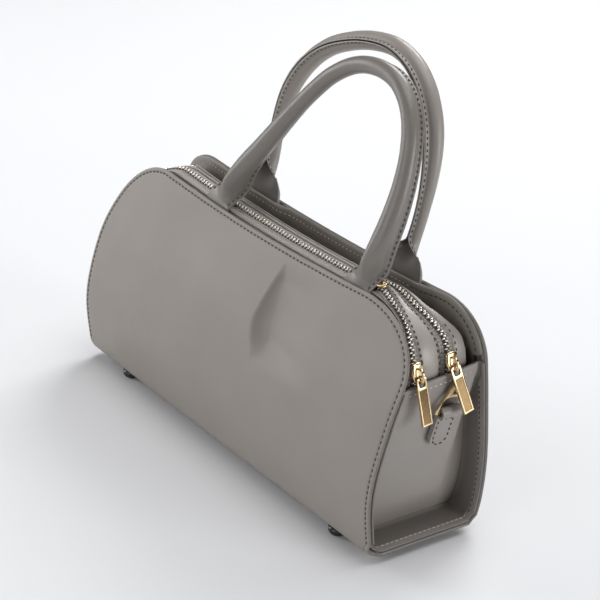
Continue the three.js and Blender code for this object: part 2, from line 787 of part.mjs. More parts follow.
function endFrame({ zip, height }) {
  const span = stationAt((station, last) => station.x > 0 && station.z <= height && last.z > height);
  return zipFrame(zip, span, (span.before.z - height) / (span.before.z - span.after.z));
}

function slider(frame) {
  const { bodyHalf, noseHalf, backLength, noseLength, floor, roof } = SLIDER;
  const body = polygon([
    [-bodyHalf, -backLength], [bodyHalf, -backLength], [bodyHalf, 0.2 * noseLength],
    [noseHalf, noseLength], [-noseHalf, noseLength], [-bodyHalf, 0.2 * noseLength],
  ]);
  const inner = roof + BAIL.opening;
  const outer = inner + BAIL.roof;
  const { outerFoot, outerTop, innerFoot, innerTop } = BAIL_HALVES;
  const root = roof - 0.5;
  const bail = polygon([[-outerFoot, root], [outerFoot, root], [outerTop, outer], [-outerTop, outer]]);
  bail.holes.push(polygon([[-innerFoot, roof], [-innerTop, inner], [innerTop, inner], [innerFoot, roof]]));
  const [x, y, z] = AXES;
  const block = plateOf(body, roof - floor, x, y, z).translate(0, 0, (roof + floor) / 2);
  const loop = plateOf(bail, 2 * BAIL.half, y, z, x).translate(0, BAIL.middle, 0);
  const joined = solidOf(block).add(solidOf(loop));
  const place = new THREE.Matrix4().makeBasis(frame.across, frame.run, frame.out).setPosition(frame.at);
  return fromSolid(joined).applyMatrix4(place);
}

// Where a pull turns on its slider, and the directions of its length, width and thickness at rest.
function pullFrame(end) {
  const frame = endFrame(end);
  const pivot = frame.at.clone();
  pivot.addScaledVector(frame.run, PULL_EYE.ahead).addScaledVector(frame.out, SLIDER.roof + PULL_EYE.up);
  const lean = degToRad(end.leanDeg);
  const tilt = degToRad(end.tiltDeg);
  const hang = new THREE.Vector3(0, Math.sin(tilt), -Math.cos(tilt));
  const along = hang.multiplyScalar(Math.cos(lean)).setX(Math.sin(lean));
  const across = new THREE.Vector3(0, -Math.cos(tilt), -Math.sin(tilt));
  return { pivot, along, across, out: new THREE.Vector3().crossVectors(across, along) };
}

function pull(end) {
  const { pivot, along, across, out } = pullFrame(end);
  const half = PULL.width / 2;
  const { bar, eyeEnd, eyeHalf, length, thick } = PULL;
  const corner = 1.6;
  const outline = new THREE.Shape();
  outline.moveTo(-half, length).lineTo(-half, corner).quadraticCurveTo(-half, -bar, corner - half, -bar);
  outline.lineTo(half - corner, -bar).quadraticCurveTo(half, -bar, half, corner).lineTo(half, length);
  const eye = polygon([[-eyeHalf, bar], [-eyeHalf, eyeEnd - 1], [1 - eyeHalf, eyeEnd],
    [eyeHalf - 1, eyeEnd], [eyeHalf, eyeEnd - 1], [eyeHalf, bar]]);
  outline.holes.push(eye);
  const [x, y, z] = AXES;
  const tag = solidOf(plateOf(outline, thick, x, y, z, 3));
  const [low, high, side] = [eyeEnd + 1.4, length - PULL.rim, half - PULL.rim];
  const face = polygon([[-side, low], [side, low], [side, high], [-side, high]]);
  const pocket = solidOf(plateOf(face, 2 * PULL.sunk, x, y, z).translate(0, 0, thick / 2));
  const place = new THREE.Matrix4().makeBasis(across, along, out).setPosition(pivot);
  return fromSolid(tag.subtract(pocket)).applyMatrix4(place);
}

// Strap rings and their tabs
function tabFace(side, height) {
  return new THREE.Vector3(gussetFaceX(side, RING.y, height), RING.y, height);
}

function ringSeat(side) {
  const low = tabFace(side, RING.z - TAB.length);
  const high = tabFace(side, RING.z);
  const up = high.clone().sub(low).normalize();
  const out = new THREE.Vector3(up.z, 0, -up.x);
  const loop = TAB.eye + TAB.leather;
  const clearance = 1.5 * SEAM_GAP + Math.max(0, bulgeOver(side, low, up, out));
  const back = high.clone().addScaledVector(out, clearance);
  return { back, up, out, bar: back.clone().addScaledVector(out, loop) };
}

// The furthest that the gusset stands proud of the straight line behind a tab.
function bulgeOver(side, low, up, out) {
  let proud = 0;
  for (let k = 0; k <= 12; k++) {
    for (const y of [RING.y - 1.5 * TAB.half, RING.y, RING.y + TAB.half]) {
      const height = low.z + (k / 12) * TAB.length;
      const point = new THREE.Vector3(gussetFaceX(side, y, height), RING.y, height);
      proud = Math.max(proud, point.sub(low).dot(out));
    }
  }
  return proud;
}

function ringTab(side) {
  const { back, up, out } = ringSeat(side);
  const loop = TAB.eye + TAB.leather;
  const thick = 2 * TAB.leather;
  const reach = Math.sqrt(loop * loop - (loop - thick) ** 2);
  const section = new THREE.Shape();
  section.moveTo(0, -TAB.length).lineTo(thick, -TAB.length).lineTo(thick, -reach);
  section.absarc(loop, 0, loop, Math.atan2(-reach, thick - loop), Math.PI, false).lineTo(0, -TAB.length);
  section.holes.push(new THREE.Path().absarc(loop, 0, TAB.eye, 0, 2 * Math.PI, true));
  const [x, y, z] = AXES;
  const strap = solidOf(plateOf(section, 2 * TAB.half, x, z, y.clone().negate(), 9));
  const tip = new THREE.Shape();
  const straight = -TAB.length + TAB.half;
  tip.moveTo(TAB.half, 2 * loop).lineTo(-TAB.half, 2 * loop).lineTo(-TAB.half, straight);
  tip.absarc(0, straight, TAB.half, Math.PI, 2 * Math.PI, false);
  const rounded = solidOf(plateOf(tip, 8 * loop, y, z, x, 8));
  const place = new THREE.Matrix4().makeBasis(out, y, up).setPosition(back);
  return tilted(fromSolid(strap.intersect(rounded)).applyMatrix4(place), side, TAB.tiltDeg);
}

// A ring and its tab lean to the back, turned about the middle of the ring's bar.
function tilted(geometry, side, tiltDeg) {
  const { x, y, z } = ringSeat(side).bar;
  return geometry.translate(-x, -y, -z).rotateX(-degToRad(tiltDeg)).translate(x, y, z);
}

function strapRing(side) {
  const { bar } = ringSeat(side);
  const { footHalf, apex, leg, thick, barHalf } = RING;
  const { half: archHalf, top: archTop } = RING_ARCH;
  const outline = new THREE.Shape();
  const heel = 1.5 * barHalf;
  outline.moveTo(-footHalf, -barHalf).lineTo(footHalf, -barHalf).lineTo(footHalf, heel);
  outline.lineTo(leg, apex - leg).quadraticCurveTo(0.5 * leg, apex, 0, apex);
  outline.quadraticCurveTo(-0.5 * leg, apex, -leg, apex - leg).lineTo(-footHalf, heel);
  const under = new THREE.Path();
  under.moveTo(archHalf, barHalf).lineTo(-archHalf, barHalf).lineTo(-archHalf, 0.4 * archTop);
  under.bezierCurveTo(-archHalf, archTop, -0.3 * archHalf, archTop, 0, archTop);
  under.bezierCurveTo(0.3 * archHalf, archTop, archHalf, archTop, archHalf, 0.4 * archTop);
  const over = polygon([[-1.8, archTop + 2], [0, apex - 1.7 * leg], [1.8, archTop + 2]]);
  outline.holes.push(under, over);
  const [x, y, z] = AXES;
  return tilted(plateOf(outline, thick, y, z, x, 5).translate(bar.x, bar.y, bar.z), side, RING.tiltDeg);
}

// Stud feet
function studFoot() {
  const { radius, flat } = FOOT;
  const top = FOOT_HEIGHT - SEAM_GAP;
  const dome = [[flat, 0], [0.82 * radius, 0.25 * top], [radius, 0.6 * top], [radius, top]];
  const profile = [[0, 0], ...dome, [0, top]];
  return new THREE.LatheGeometry(profile.map(([r, z]) => new THREE.Vector2(r, z)), 12).rotateX(Math.PI / 2);
}

// Assembly
const bag = new THREE.Group();

function addPiece(name, geometry, finish) {
  const mesh = new THREE.Mesh(geometry, new THREE.MeshStandardMaterial(COLOURS[finish]));
  mesh.name = name;
  bag.add(mesh);
  return mesh;
}

addPiece("outer_wrap", outerWrap(), "leather");
addPiece("back_facing", backFacing(), "leather");
addPiece("front_border", strip("front", "border", STRIP_LEATHER, flatAcross), "leather");
addPiece("zip_front", strip("border", "zip", ZIP_TAPE, chainAcross(false)), "tape");
addPiece("middle_band", strip("zip", "band", STRIP_LEATHER, crownAcross), "leather");
addPiece("zip_back", strip("band", "backZip", ZIP_TAPE, chainAcross(true)), "tape");
addPiece("back_border", backBorder(), "leather");

for (const name of ["front", "back"]) {
  addPiece("handle_" + name, rolledHandle(name), "leather");
  addPiece("slider_" + name + "_end", slider(endFrame(ENDS[name])), "gold");
  addPiece("pull_" + name, pull(ENDS[name]), "gold");
}
const midSpan = stationAt((station) => station.along >= MID_SLIDER_ALONG);
addPiece("slider_front_mid", slider(zipFrame("front", midSpan, 0.5)), "gold");

for (const side of ["left", "right"]) {
  addPiece("gusset_" + side, gusset(side), "leather");
  const hand = side === "left" ? -1 : 1;
  addPiece("ring_tab_" + side, ringTab(side), "leather").scale.x = hand;
  addPiece("ring_" + side, strapRing(side), "gold").scale.x = hand;
  for (const row of ["front", "back"]) {
    const foot = addPiece("foot_" + row + "_" + side, studFoot(), "darkMetal");
    foot.position.set(hand * FOOT.x, row === "front" ? -FOOT.y : FOOT.y, 0);
  }
}

// The part's origin is the middle of the bag's outer box, on the surface it stands on.
const box = new THREE.Box3().setFromObject(bag);
const middle = box.getCenter(new THREE.Vector3());
bag.children.forEach((mesh) => mesh.position.sub(new THREE.Vector3(middle.x, middle.y, 0)));

export default bag;
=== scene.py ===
import math

import bmesh
import bpy
import numpy as np
from mathutils import Matrix, Vector


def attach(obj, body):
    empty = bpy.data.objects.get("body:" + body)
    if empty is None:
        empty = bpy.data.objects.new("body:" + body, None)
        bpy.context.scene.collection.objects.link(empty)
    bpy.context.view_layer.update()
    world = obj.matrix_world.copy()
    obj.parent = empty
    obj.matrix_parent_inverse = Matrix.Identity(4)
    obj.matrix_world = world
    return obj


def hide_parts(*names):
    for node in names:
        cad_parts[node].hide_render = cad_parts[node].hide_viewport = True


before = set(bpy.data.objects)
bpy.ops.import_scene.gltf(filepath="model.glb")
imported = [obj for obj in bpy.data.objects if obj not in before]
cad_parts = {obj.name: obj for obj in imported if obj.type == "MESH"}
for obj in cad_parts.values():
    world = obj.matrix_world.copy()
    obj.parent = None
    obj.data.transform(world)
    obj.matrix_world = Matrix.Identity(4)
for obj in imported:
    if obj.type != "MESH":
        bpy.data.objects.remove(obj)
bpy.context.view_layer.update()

# Lengths are millimetres up to the moment a mesh is made. X runs along the bag, Y to its back, Z up.
MM = 0.001
# From the middle of the bag's base to the part's origin, the middle of its outer box.
SHIFT = np.array([-3.27006, 3.97801, 0.0])

# Body sizes
FOOT_HEIGHT = 5.0
HALF_LENGTH = 145.0
BASE_DEPTH = 83.7
LOWER_BENDS = {"front": 9.5, "back": 6.0}
CORNER_DENT = {"front": 2.6, "back": 1.2}
TOP_SAG = 3.5
SAG_FROM = 100.0
SHOULDER_POWER = 2.2
SEAM_GAP = 0.36

# Sheet thicknesses, and how far the cut edge of each sheet bulges
WRAP_LEATHER = 2.3
GUSSET_LEATHER = 1.5
FACING_LEATHER = 1.7
STRIP_LEATHER = 1.5
ZIP_TAPE = 1.0
HANDLE_LEATHER = 1.0
RIMS = {"wrap": 0.7, "gusset": 0.55, "facing": 0.6, "strip": 0.35, "border": 0.3, "tape": 0.2}

# Room for the handles' straps, and how much a leaning sheet adds to a thickness measured along Y
STRAP_SLOT = 3.1
LEAN_ALLOWANCE = 1.06

# The two big panels. Left and right give half of the straight top edge and where a shoulder starts.
PANELS = {
    "front": {
        "facing": -1,
        "height": 145.9,
        "bow": 3.0,
        "left": (97.0, 75.0),
        "right": (94.4, 109.5),
        "lean": ((0.0, 0.3, 0.6, 0.8, 1.0), (0.0, -6.7, 0.3, 8.8, 17.2)),
    },
    "back": {
        "facing": 1,
        "height": 144.0,
        "bow": 2.0,
        "left": (108.0, 100.0),
        "right": (114.0, 112.0),
        "lean": ((0.0, 0.12, 0.3, 0.6, 0.8, 1.0), (2.6, 0.2, 1.0, 8.4, 14.4, 20.4)),
    },
}

# The fold pressed into the front panel: where its crest runs and how wide its steep side is, by height.
FOLD = {
    "heights": (84.0, 92.0, 98.0, 108.0, 121.0, 138.0),
    "crest": (27.0, 22.4, 20.2, 20.8, 23.2, 27.3),
    "wall": (10.0, 10.0, 10.0, 9.0, 6.0, 3.0),
    "steepness": 0.66,
    "return": 34.0,
    "foot": (76.0, 93.0),
    "top": (128.0, 141.0),
}
FOLD_RIPPLE = {"depth": 0.16, "per_height": 0.95, "per_x": 0.3, "reach": 6.0}

# The sunk end panels: height, then how far they lie inside the body's edge at their front and back.
SINK_HEIGHTS = (5.0, 14.0, 24.0, 40.0, 75.0, 95.0, 107.0, 115.0)
SINK_FRONT = (20.5, 18.0, 14.6, 12.3, 7.0, 3.6, 2.8, 2.6)
SINK_BACK = (20.5, 18.8, 17.0, 15.8, 14.2, 9.4, 3.6, 2.6)
GUSSET_TURN = (19.5, 29.0)
HEM = {"front": 107.0, "back": 113.3}
GUSSET_FILLET = 2.0
GUSSET_EDGE_INSET = 0.4
GUSSET_CORNERS = {"front": 6.0, "back": 3.5}
GUSSET_FIELD_INSET = 12.0
GUSSET_LIE = (WRAP_LEATHER + SEAM_GAP + GUSSET_LEATHER) * LEAN_ALLOWANCE

# The facing behind the slip pocket.
FACING = {"foot": 104.0, "hem_inset": 8.5, "edge_inset": 1.2, "widens": (115.0, 119.0)}
SLOT_CLOSES = (15.0, 28.0)

# The zipped top: its edges across Y at places along its arch, and how deep the back zip lies.
STRIP_COLUMNS = ("along", "border", "zip", "band", "back_zip", "end", "groove")
STRIP_EDGES = (
    (0.00, -27.5, -15.5, -3.5, 8.5, 18.0, 0.0),
    (0.10, -27.5, -16.0, -4.0, 8.0, 16.5, 0.0),
    (0.21, -18.6, -4.0, -2.2, -0.4, 1.8, 2.0),
    (0.66, -18.6, -4.8, -3.0, -1.0, 1.2, 2.0),
    (0.78, -16.8, -9.4, -5.0, 0.2, 2.6, 0.8),
    (0.83, -21.2, -14.5, -7.6, 0.0, 3.6, 0.4),
    (0.87, -24.2, -16.6, -5.2, 3.0, 9.0, 0.2),
    (0.92, -27.4, -17.8, -2.3, 7.7, 16.5, 0.0),
    (1.00, -27.0, -16.5, -2.0, 8.0, 18.0, 0.0),
)
STRIP_END_HEIGHT = 105.0
STRIP_INSET = {"top": 1.5, "end": 7.0}
LEAST_BORDER = 1.2
STRAPS_FROM = (128.0, 138.0)
CHAIN_WIDTH = 4.4
BORDER_CROWN = 0.25
BAND_CROWN = 1.3

# Rolled handles: centrelines in a leaning plane, as X and the rise along that plane.
HANDLES = {
    "front": {
        "lean": math.radians(17),
        "fin_side": 1,
        "fin_turn": (math.radians(2), math.radians(28)),
        "strap_half": 10.4,
        "opens": (-2.0, 34.0),
        "flattens": (-1.0, 13.0),
        "girth": (1.14, 0.9),
        "slims": (15.0, 78.0),
        "foot": (-20.7, 143.5),
        "ends": (-49.0, 83.5),
        "path": (
            (-41.2, 20.1), (-28.4, 41.9), (-16.0, 64.4), (-2.7, 86.0), (9.4, 100.8),
            (25.1, 111.2), (42.6, 114.8), (58.2, 112.4), (69.6, 105.5), (77.8, 96.0),
            (84.6, 81.3), (88.7, 62.4), (89.6, 40.5), (87.6, 20.6),
        ),
    },
    "back": {
        "lean": math.radians(7),
        "fin_side": -1,
        "fin_turn": (0.0, 0.0),
        "strap_half": 12.6,
        "opens": (9.0, 21.0),
        "flattens": (0.0, 16.0),
        "girth": (0.68, 1.0),
        "slims": (30.0, 88.0),
        "foot": (18.0, 141.5),
        "ends": (-51.2, 81.0),
        "path": (
            (-52.0, 24.0), (-52.6, 46.0), (-48.5, 68.0), (-38.3, 87.6), (-23.0, 102.4),
            (-5.9, 111.4), (13.5, 117.6), (33.5, 119.4), (50.8, 114.4), (64.0, 104.5),
            (74.0, 90.0), (79.6, 74.0), (82.0, 55.0), (81.8, 36.0), (80.2, 18.0),
        ),
    },
}
HANDLE = {
    "radius": 5.6,
    "fin_reach": 8.4,
    "fin_half": 1.35,
    "strap_thick": 2.0,
    "tuck": 10.0,
    "stations": 190,
    "root_gap": 0.3,
    "inner_edge": 0.96,
    "inner_root": 0.5,
    "sewn_below_top": 1.0,
}

# Strap ring tabs and stud feet
RING = {"y": 3.4, "z": 89.0}
TAB = {
    "solid_tilt": math.radians(7),
    "tilt": math.radians(1.5),
    "widen": 1.12,
    "half": 6.3,
    "length": 24.0,
    "leather": 1.5,
    "eye": 1.9,
    "seam_inset": 1.6,
    "seam_top": -5.2,
}
FOOT = {"x": 107.5, "y": 34.0, "radius": 5.5, "flat": 3.2, "hub": 0.4, "dome": 0.75, "rows": 9, "sides": 40}

# Sewing
STITCH = {"pitch": 3.4, "length": 1.9, "half_width": 0.4, "half_height": 0.3}
SEAM_INSET = 2.4
SEAM_DIP = 0.45
SEAM_DIP_REACH = 0.75
EDGE_ROLL = 1.4
EDGE_DROP = 0.45
# How far each kind of stitch lies below its surface
SINKS = {"panel": 0.3375, "seam": 0.2, "hem": 0.05, "handle": 0.02}

# Steps up each side of an arched line and points along it, and steps round a sheet's rim
OUTLINES = {"panel": (400, 1600), "facing": (300, 1200), "strip": (400, 231)}
RIM_STEPS = 5


# Numbers

def lerp(a, b, share):
    return a + (b - a) * share


def smoothstep(value, low, high):
    share = np.clip((value - low) / (high - low), 0.0, 1.0)
    return share * share * (3.0 - 2.0 * share)


def unit(vectors):
    vectors = np.asarray(vectors, float)
    lengths = np.linalg.norm(vectors, axis=-1, keepdims=True)
    return vectors / np.maximum(lengths, 1e-12)


def curve_through(places, values):
    """A cubic through a short table that runs straight at its two ends."""
    places = np.array(places, float)
    values = np.array(values, float)
    last = len(places) - 1

    def evaluate(at):
        at = np.clip(np.asarray(at, float), places[0], places[-1])
        after = np.clip(np.searchsorted(places, at, side="right"), 1, last)
        before = after - 1
        start, stop = places[before], places[after]
        half = (stop - start) / 2
        first = before == 0
        final = after == last
        ahead = np.where(first, after, before - 1)
        behind = np.where(final, before, np.minimum(after + 1, last))
        weight_ahead = half / (start - places[ahead])
        weight_behind = half / (places[behind] - stop)
        p = (at - start) / (stop - start)
        p2 = p * p
        p3 = p2 * p
        share_ahead = -weight_ahead * p3 + 2 * weight_ahead * p2 - weight_ahead * p
        share_before = (1 + weight_ahead) * p3 + (-1.5 - 2 * weight_ahead) * p2 + (weight_ahead - 0.5) * p + 1
        share_after = (-1 - weight_behind) * p3 + (1.5 + weight_behind) * p2 + 0.5 * p
        share_behind = weight_behind * p3 - weight_behind * p2
        return (share_ahead * values[ahead] + share_before * values[before]
                + share_after * values[after] + share_behind * values[behind])

    return evaluate


LEAN_CURVES = {name: curve_through(*panel["lean"]) for name, panel in PANELS.items()}
FOLD_CREST = curve_through(FOLD["heights"], FOLD["crest"])
FOLD_WALL = curve_through(FOLD["heights"], FOLD["wall"])
SINK_CURVES = {
    "front": curve_through(SINK_HEIGHTS, SINK_FRONT),
    "back": curve_through(SINK_HEIGHTS, SINK_BACK),
}


def strip_column(name, along):
    """A column of the strip table as a smooth line that never overshoots its rows."""
    table = np.array(STRIP_EDGES)
    places, values = table[:, 0], table[:, STRIP_COLUMNS.index(name)]
    step = np.diff(places)
    slope = np.diff(values) / step
    agree = slope[:-1] * slope[1:] > 0
    mean = 2 * slope[:-1] * slope[1:] / np.where(agree, slope[:-1] + slope[1:], 1.0)
    tangent = np.concatenate([[0.0], np.where(agree, mean, 0.0), [0.0]])
    row = np.clip(np.searchsorted(places, along, side="right") - 1, 0, len(step) - 1)
    share = (along - places[row]) / step[row]
    bend = share * (1.0 - share) * (tangent[row] * (1.0 - share) - tangent[row + 1] * share)
    return lerp(values[row], values[row + 1], smoothstep(share, 0.0, 1.0)) + step[row] * bend


def travel_along(points):
    """The distance along a line of points from its start to each of them."""
    lengths = np.linalg.norm(np.diff(points, axis=0), axis=1)
    return np.concatenate([[0.0], np.cumsum(lengths)])


def read_at(where, travel, points):
    """Points of a line at given distances along it."""
    return np.stack([np.interp(where, travel, points[:, k]) for k in range(points.shape[1])], axis=-1)


def resampled(points, count):
    """A line of points with a given count at even distances."""
    points = np.asarray(points, float)
    travel = travel_along(points)
    return read_at(np.linspace(0.0, travel[-1], count), travel, points)


# Body outline

def half_width(panel_name, x, height):
    """Half width of a panel's outline, on the side where x lies."""
    panel = PANELS[panel_name]
    left = np.asarray(x) < 0
    top = np.where(left, panel["left"][0], panel["right"][0])
    start = np.where(left, panel["left"][1], panel["right"][1])
    rise = np.clip((height - start) / (panel["height"] - start), 0.0, 1.0)
    fullness = (1.0 - rise ** SHOULDER_POWER) ** (1.0 / SHOULDER_POWER)
    return top + (HALF_LENGTH - top) * fullness


def corner_dent(panel_name, turn):
    """How far a lower corner is rounded in, over the quarter turn from a panel to the base."""
    return CORNER_DENT[panel_name] * np.sin(2 * turn)


def height_share(panel_name, height):
    return (height - FOOT_HEIGHT) / (PANELS[panel_name]["height"] - FOOT_HEIGHT)


def edge_y(panel_name, height):
    inset = LEAN_CURVES[panel_name](height_share(panel_name, height))
    return PANELS[panel_name]["facing"] * (BASE_DEPTH / 2 - inset)


def fold_depth(x, height):
    """How far the front panel is pressed in, with a faint ripple beside the crest."""
    away = x - FOLD_CREST(height)
    wall = FOLD_WALL(height)
    steep = 1.0 - (1.0 - np.clip(away / wall, 0.0, 1.0)) ** 2
    back = np.exp(-((np.maximum(away - wall, 0.0) / FOLD["return"]) ** 2))
    wave = np.sin(height * FOLD_RIPPLE["per_height"] + np.sin(x * FOLD_RIPPLE["per_x"]))
    ripple = FOLD_RIPPLE["depth"] * wave * np.exp(-((away / FOLD_RIPPLE["reach"]) ** 2))
    fade = smoothstep(height, *FOLD["foot"]) * (1.0 - smoothstep(height, *FOLD["top"]))
    return fade * (FOLD["steepness"] * wall * steep * back + ripple)


def panel_y(panel_name, x, height):
    panel = PANELS[panel_name]
    across = np.clip(np.abs(x) / half_width(panel_name, x, height), 0.0, 1.0)
    arc = np.sin(math.pi * np.clip(height_share(panel_name, height), 0.0, 1.0))
    bow = panel["bow"] * (1.0 - across * across) * arc
    fold = fold_depth(x, height) if panel_name == "front" else 0.0
    return edge_y(panel_name, height) + panel["facing"] * (bow - fold)


def sag_at(panel_name, x, height):
    panel = PANELS[panel_name]
    reach = max(panel["left"][0], panel["right"][0])
    middle = np.maximum(0.0, 1.0 - (x / reach) ** 2)
    return TOP_SAG * middle * smoothstep(height, SAG_FROM, panel["height"])


def panel_point(panel_name, x, height):
    x, height = np.broadcast_arrays(np.asarray(x, float), np.asarray(height, float))
    y = panel_y(panel_name, x, height)
    return np.stack([x, y, height - sag_at(panel_name, x, height)], axis=-1)


def strap_slot(x):
    """How far the slot behind the facing opens: only where a strap of the back handle runs down into it."""
    left, right = HANDLES["back"]["ends"]
    away = np.minimum(np.abs(x - left), np.abs(x - right))
    return lerp(STRAP_SLOT, SEAM_GAP, smoothstep(away, *SLOT_CLOSES))


def facing_y(x, height):
    return panel_y("back", x, height) - (WRAP_LEATHER + strap_slot(x) + FACING_LEATHER) * LEAN_ALLOWANCE


def facing_point(x, height):
    x, height = np.broadcast_arrays(np.asarray(x, float), np.asarray(height, float))
    return np.stack([x, facing_y(x, height), height - sag_at("back", x, height)], axis=-1)


def surface_normal(point_at, x, height, facing):
    """The outward direction of a surface given as points over X and height."""
    step = 0.4
    across = point_at(x + step, height) - point_at(x - step, height)
    upward = point_at(x, height + step) - point_at(x, height - step)
    normal = unit(np.cross(across, upward))
    return normal * np.sign(normal[..., 1:2] * facing)


def directions_along(line):
    """The run of a line over X and height, and the direction to its right."""
    run = unit(np.gradient(line, axis=0))
    return run, np.stack([run[:, 1], -run[:, 0]], axis=1)


def arched_line(panel_name, foot, steps, count, trim_at=None):
    """X and height along an arch from its left foot to its right one, with its run and inward directions."""
    rise = np.sin(np.linspace(0.0, math.pi / 2, steps))
    heights = lerp(foot, PANELS[panel_name]["height"], rise)
    trim = 0.0 if trim_at is None else trim_at(heights)
    left = np.stack([trim - half_width(panel_name, -1.0, heights), heights], axis=1)
    right = np.stack([half_width(panel_name, 1.0, heights) - trim, heights], axis=1)
    line = resampled(np.concatenate([left, right[::-1]]), count)
    return line, *directions_along(line)


def panel_outline(panel_name, inset):
    """X and height along a panel's edge, moved in by an inset."""
    foot = FOOT_HEIGHT + LOWER_BENDS[panel_name]
    line, unused, inward = arched_line(panel_name, foot, *OUTLINES["panel"])
    return line + inset * inward


def seam_relief(distance, inset=SEAM_INSET, dip=SEAM_DIP):
    """How sewn leather sinks along its stitches and rolls off at its edge."""
    groove = dip * np.exp(-(((distance - inset) / SEAM_DIP_REACH) ** 2))
    roll = np.clip(1.0 - distance / EDGE_ROLL, 0.0, 1.0)
    return -groove - EDGE_DROP * roll * roll


# Meshes
UV_NAME = "length_and_width"


def add_object(name, points, faces, materials, face_slots=None, uvs=None):
    mesh = bpy.data.meshes.new(name)
    placed = (np.asarray(points, float) + SHIFT) * MM
    mesh.from_pydata(placed.tolist(), [], [tuple(int(i) for i in face) for face in faces])
    for material in materials:
        mesh.materials.append(material)
    if face_slots is not None:
        mesh.polygons.foreach_set("material_index", np.asarray(face_slots, np.int32))
    mesh.polygons.foreach_set("use_smooth", np.ones(len(mesh.polygons), bool))
    if uvs is not None:
        layer = mesh.uv_layers.new(name=UV_NAME)
        loops = np.empty(len(mesh.loops), np.int32)
        mesh.loops.foreach_get("vertex_index", loops)
        layer.data.foreach_set("uv", np.asarray(uvs, np.float32)[loops].ravel())
    mesh.update()
    piece = bpy.data.objects.new(name, mesh)
    bpy.context.scene.collection.objects.link(piece)
    return piece


class Sheet:
    """An open sheet that is thickened, away from the side it faces, into a solid with a rounded rim."""

    def __init__(self):
        self.points = []
        self.faces = []
        self.slots = []
        self.known = {}

    def index(self, point):
        key = tuple(np.round(point, 3))
        if key not in self.known:
            self.known[key] = len(self.points)
            self.points.append(point)
        return self.known[key]

    def add_grid(self, rows, flip=False, other_rows=()):
        """Joins rows of points with faces; the rows of faces in other_rows take the third material."""
        ids = [[self.index(point) for point in row] for row in rows]
        for i in range(len(ids) - 1):
            for j in range(len(ids[i]) - 1):
                corners = [ids[i][j], ids[i][j + 1], ids[i + 1][j + 1], ids[i + 1][j]]
                face = list(dict.fromkeys(corners))
                if len(face) > 2:
                    self.faces.append(face[::-1] if flip else face)
                    self.slots.append(2 if i in other_rows else 0)
        return self

    def solid(self, thickness, rim):
        """Points, faces and material slots: the face, the back and a rim that bulges by a given length."""
        points = np.array(self.points)
        count = len(points)
        triangles = np.array([[face[0], face[k], face[k + 1]]
                              for face in self.faces for k in range(1, len(face) - 1)])
        corner = points[triangles]
        face_normal = np.cross(corner[:, 1] - corner[:, 0], corner[:, 2] - corner[:, 0])
        normals = np.zeros_like(points)
        for k in range(3):
            np.add.at(normals, triangles[:, k], face_normal)
        normals = unit(normals)
        backs = points - thickness * normals

        edges = {(face[k], face[(k + 1) % len(face)]) for face in self.faces for k in range(len(face))}
        border = sorted(edge for edge in edges if edge[::-1] not in edges)
        outward = np.zeros_like(points)
        for start, stop in border:
            away = np.cross(points[stop] - points[start], normals[start] + normals[stop])
            outward[start] += away
            outward[stop] += away
        outward = unit(outward)
        rim_ids = sorted({i for edge in border for i in edge})
        place = {i: k for k, i in enumerate(rim_ids)}
        layers = []
        for step in range(1, RIM_STEPS):
            turn = math.pi * step / RIM_STEPS
            share = (1.0 - math.cos(turn)) / 2
            line = lerp(points[rim_ids], backs[rim_ids], share)
            layers.append(line + rim * math.sin(turn) * outward[rim_ids])

        def layer_index(vertex, step):
            if step == 0:
                return vertex
            if step == RIM_STEPS:
                return vertex + count
            return 2 * count + (step - 1) * len(rim_ids) + place[vertex]

        faces = list(self.faces) + [[i + count for i in face[::-1]] for face in self.faces]
        slots = self.slots + [0] * len(self.faces)
        for start, stop in border:
            for step in range(RIM_STEPS):
                faces.append([layer_index(stop, step), layer_index(start, step),
                              layer_index(start, step + 1), layer_index(stop, step + 1)])
                slots.append(1)
        return np.concatenate([points, backs, *layers]), faces, slots


class Builder:
    """Gathers many small shapes into one mesh."""

    def __init__(self):
        self.points = []
        self.faces = []
        self.slots = []
        self.count = 0

    def add(self, points, faces, slot=0):
        self.points.append(np.asarray(points, float))
        self.faces.extend([[i + self.count for i in face] for face in faces])
        self.slots.extend([slot] * len(faces))
        self.count += len(points)

    def piece(self, name, materials):
        return add_object(name, np.concatenate(self.points), self.faces, materials, self.slots)


def loft(rings):
    """Closed rings of points joined one to the next, with both ends closed by fans."""
    rings = np.asarray(rings)
    count, size = rings.shape[:2]
    points = np.concatenate([rings.reshape(-1, 3), [rings[0].mean(axis=0), rings[-1].mean(axis=0)]])
    faces = []
    for i in range(count - 1):
        for j in range(size):
            a, b = i * size + j, i * size + (j + 1) % size
            faces.append([a, b, b + size, a + size])
    last = (count - 1) * size
    for j in range(size):
        after = (j + 1) % size
        faces.append([count * size, after, j])
        faces.append([count * size + 1, last + j, last + after])
    return points, faces


# One stitch: rings along it, as shares of its half length, girth and lift
STITCH_RINGS = ((-1.0, 0.5, -0.9), (-0.72, 0.9, 0.35), (-0.3, 1.0, 0.8),
                (0.3, 1.0, 0.8), (0.72, 0.9, 0.35), (1.0, 0.5, -0.9))
STITCH_SIDES = 6
HEADING_REACH = 0.2


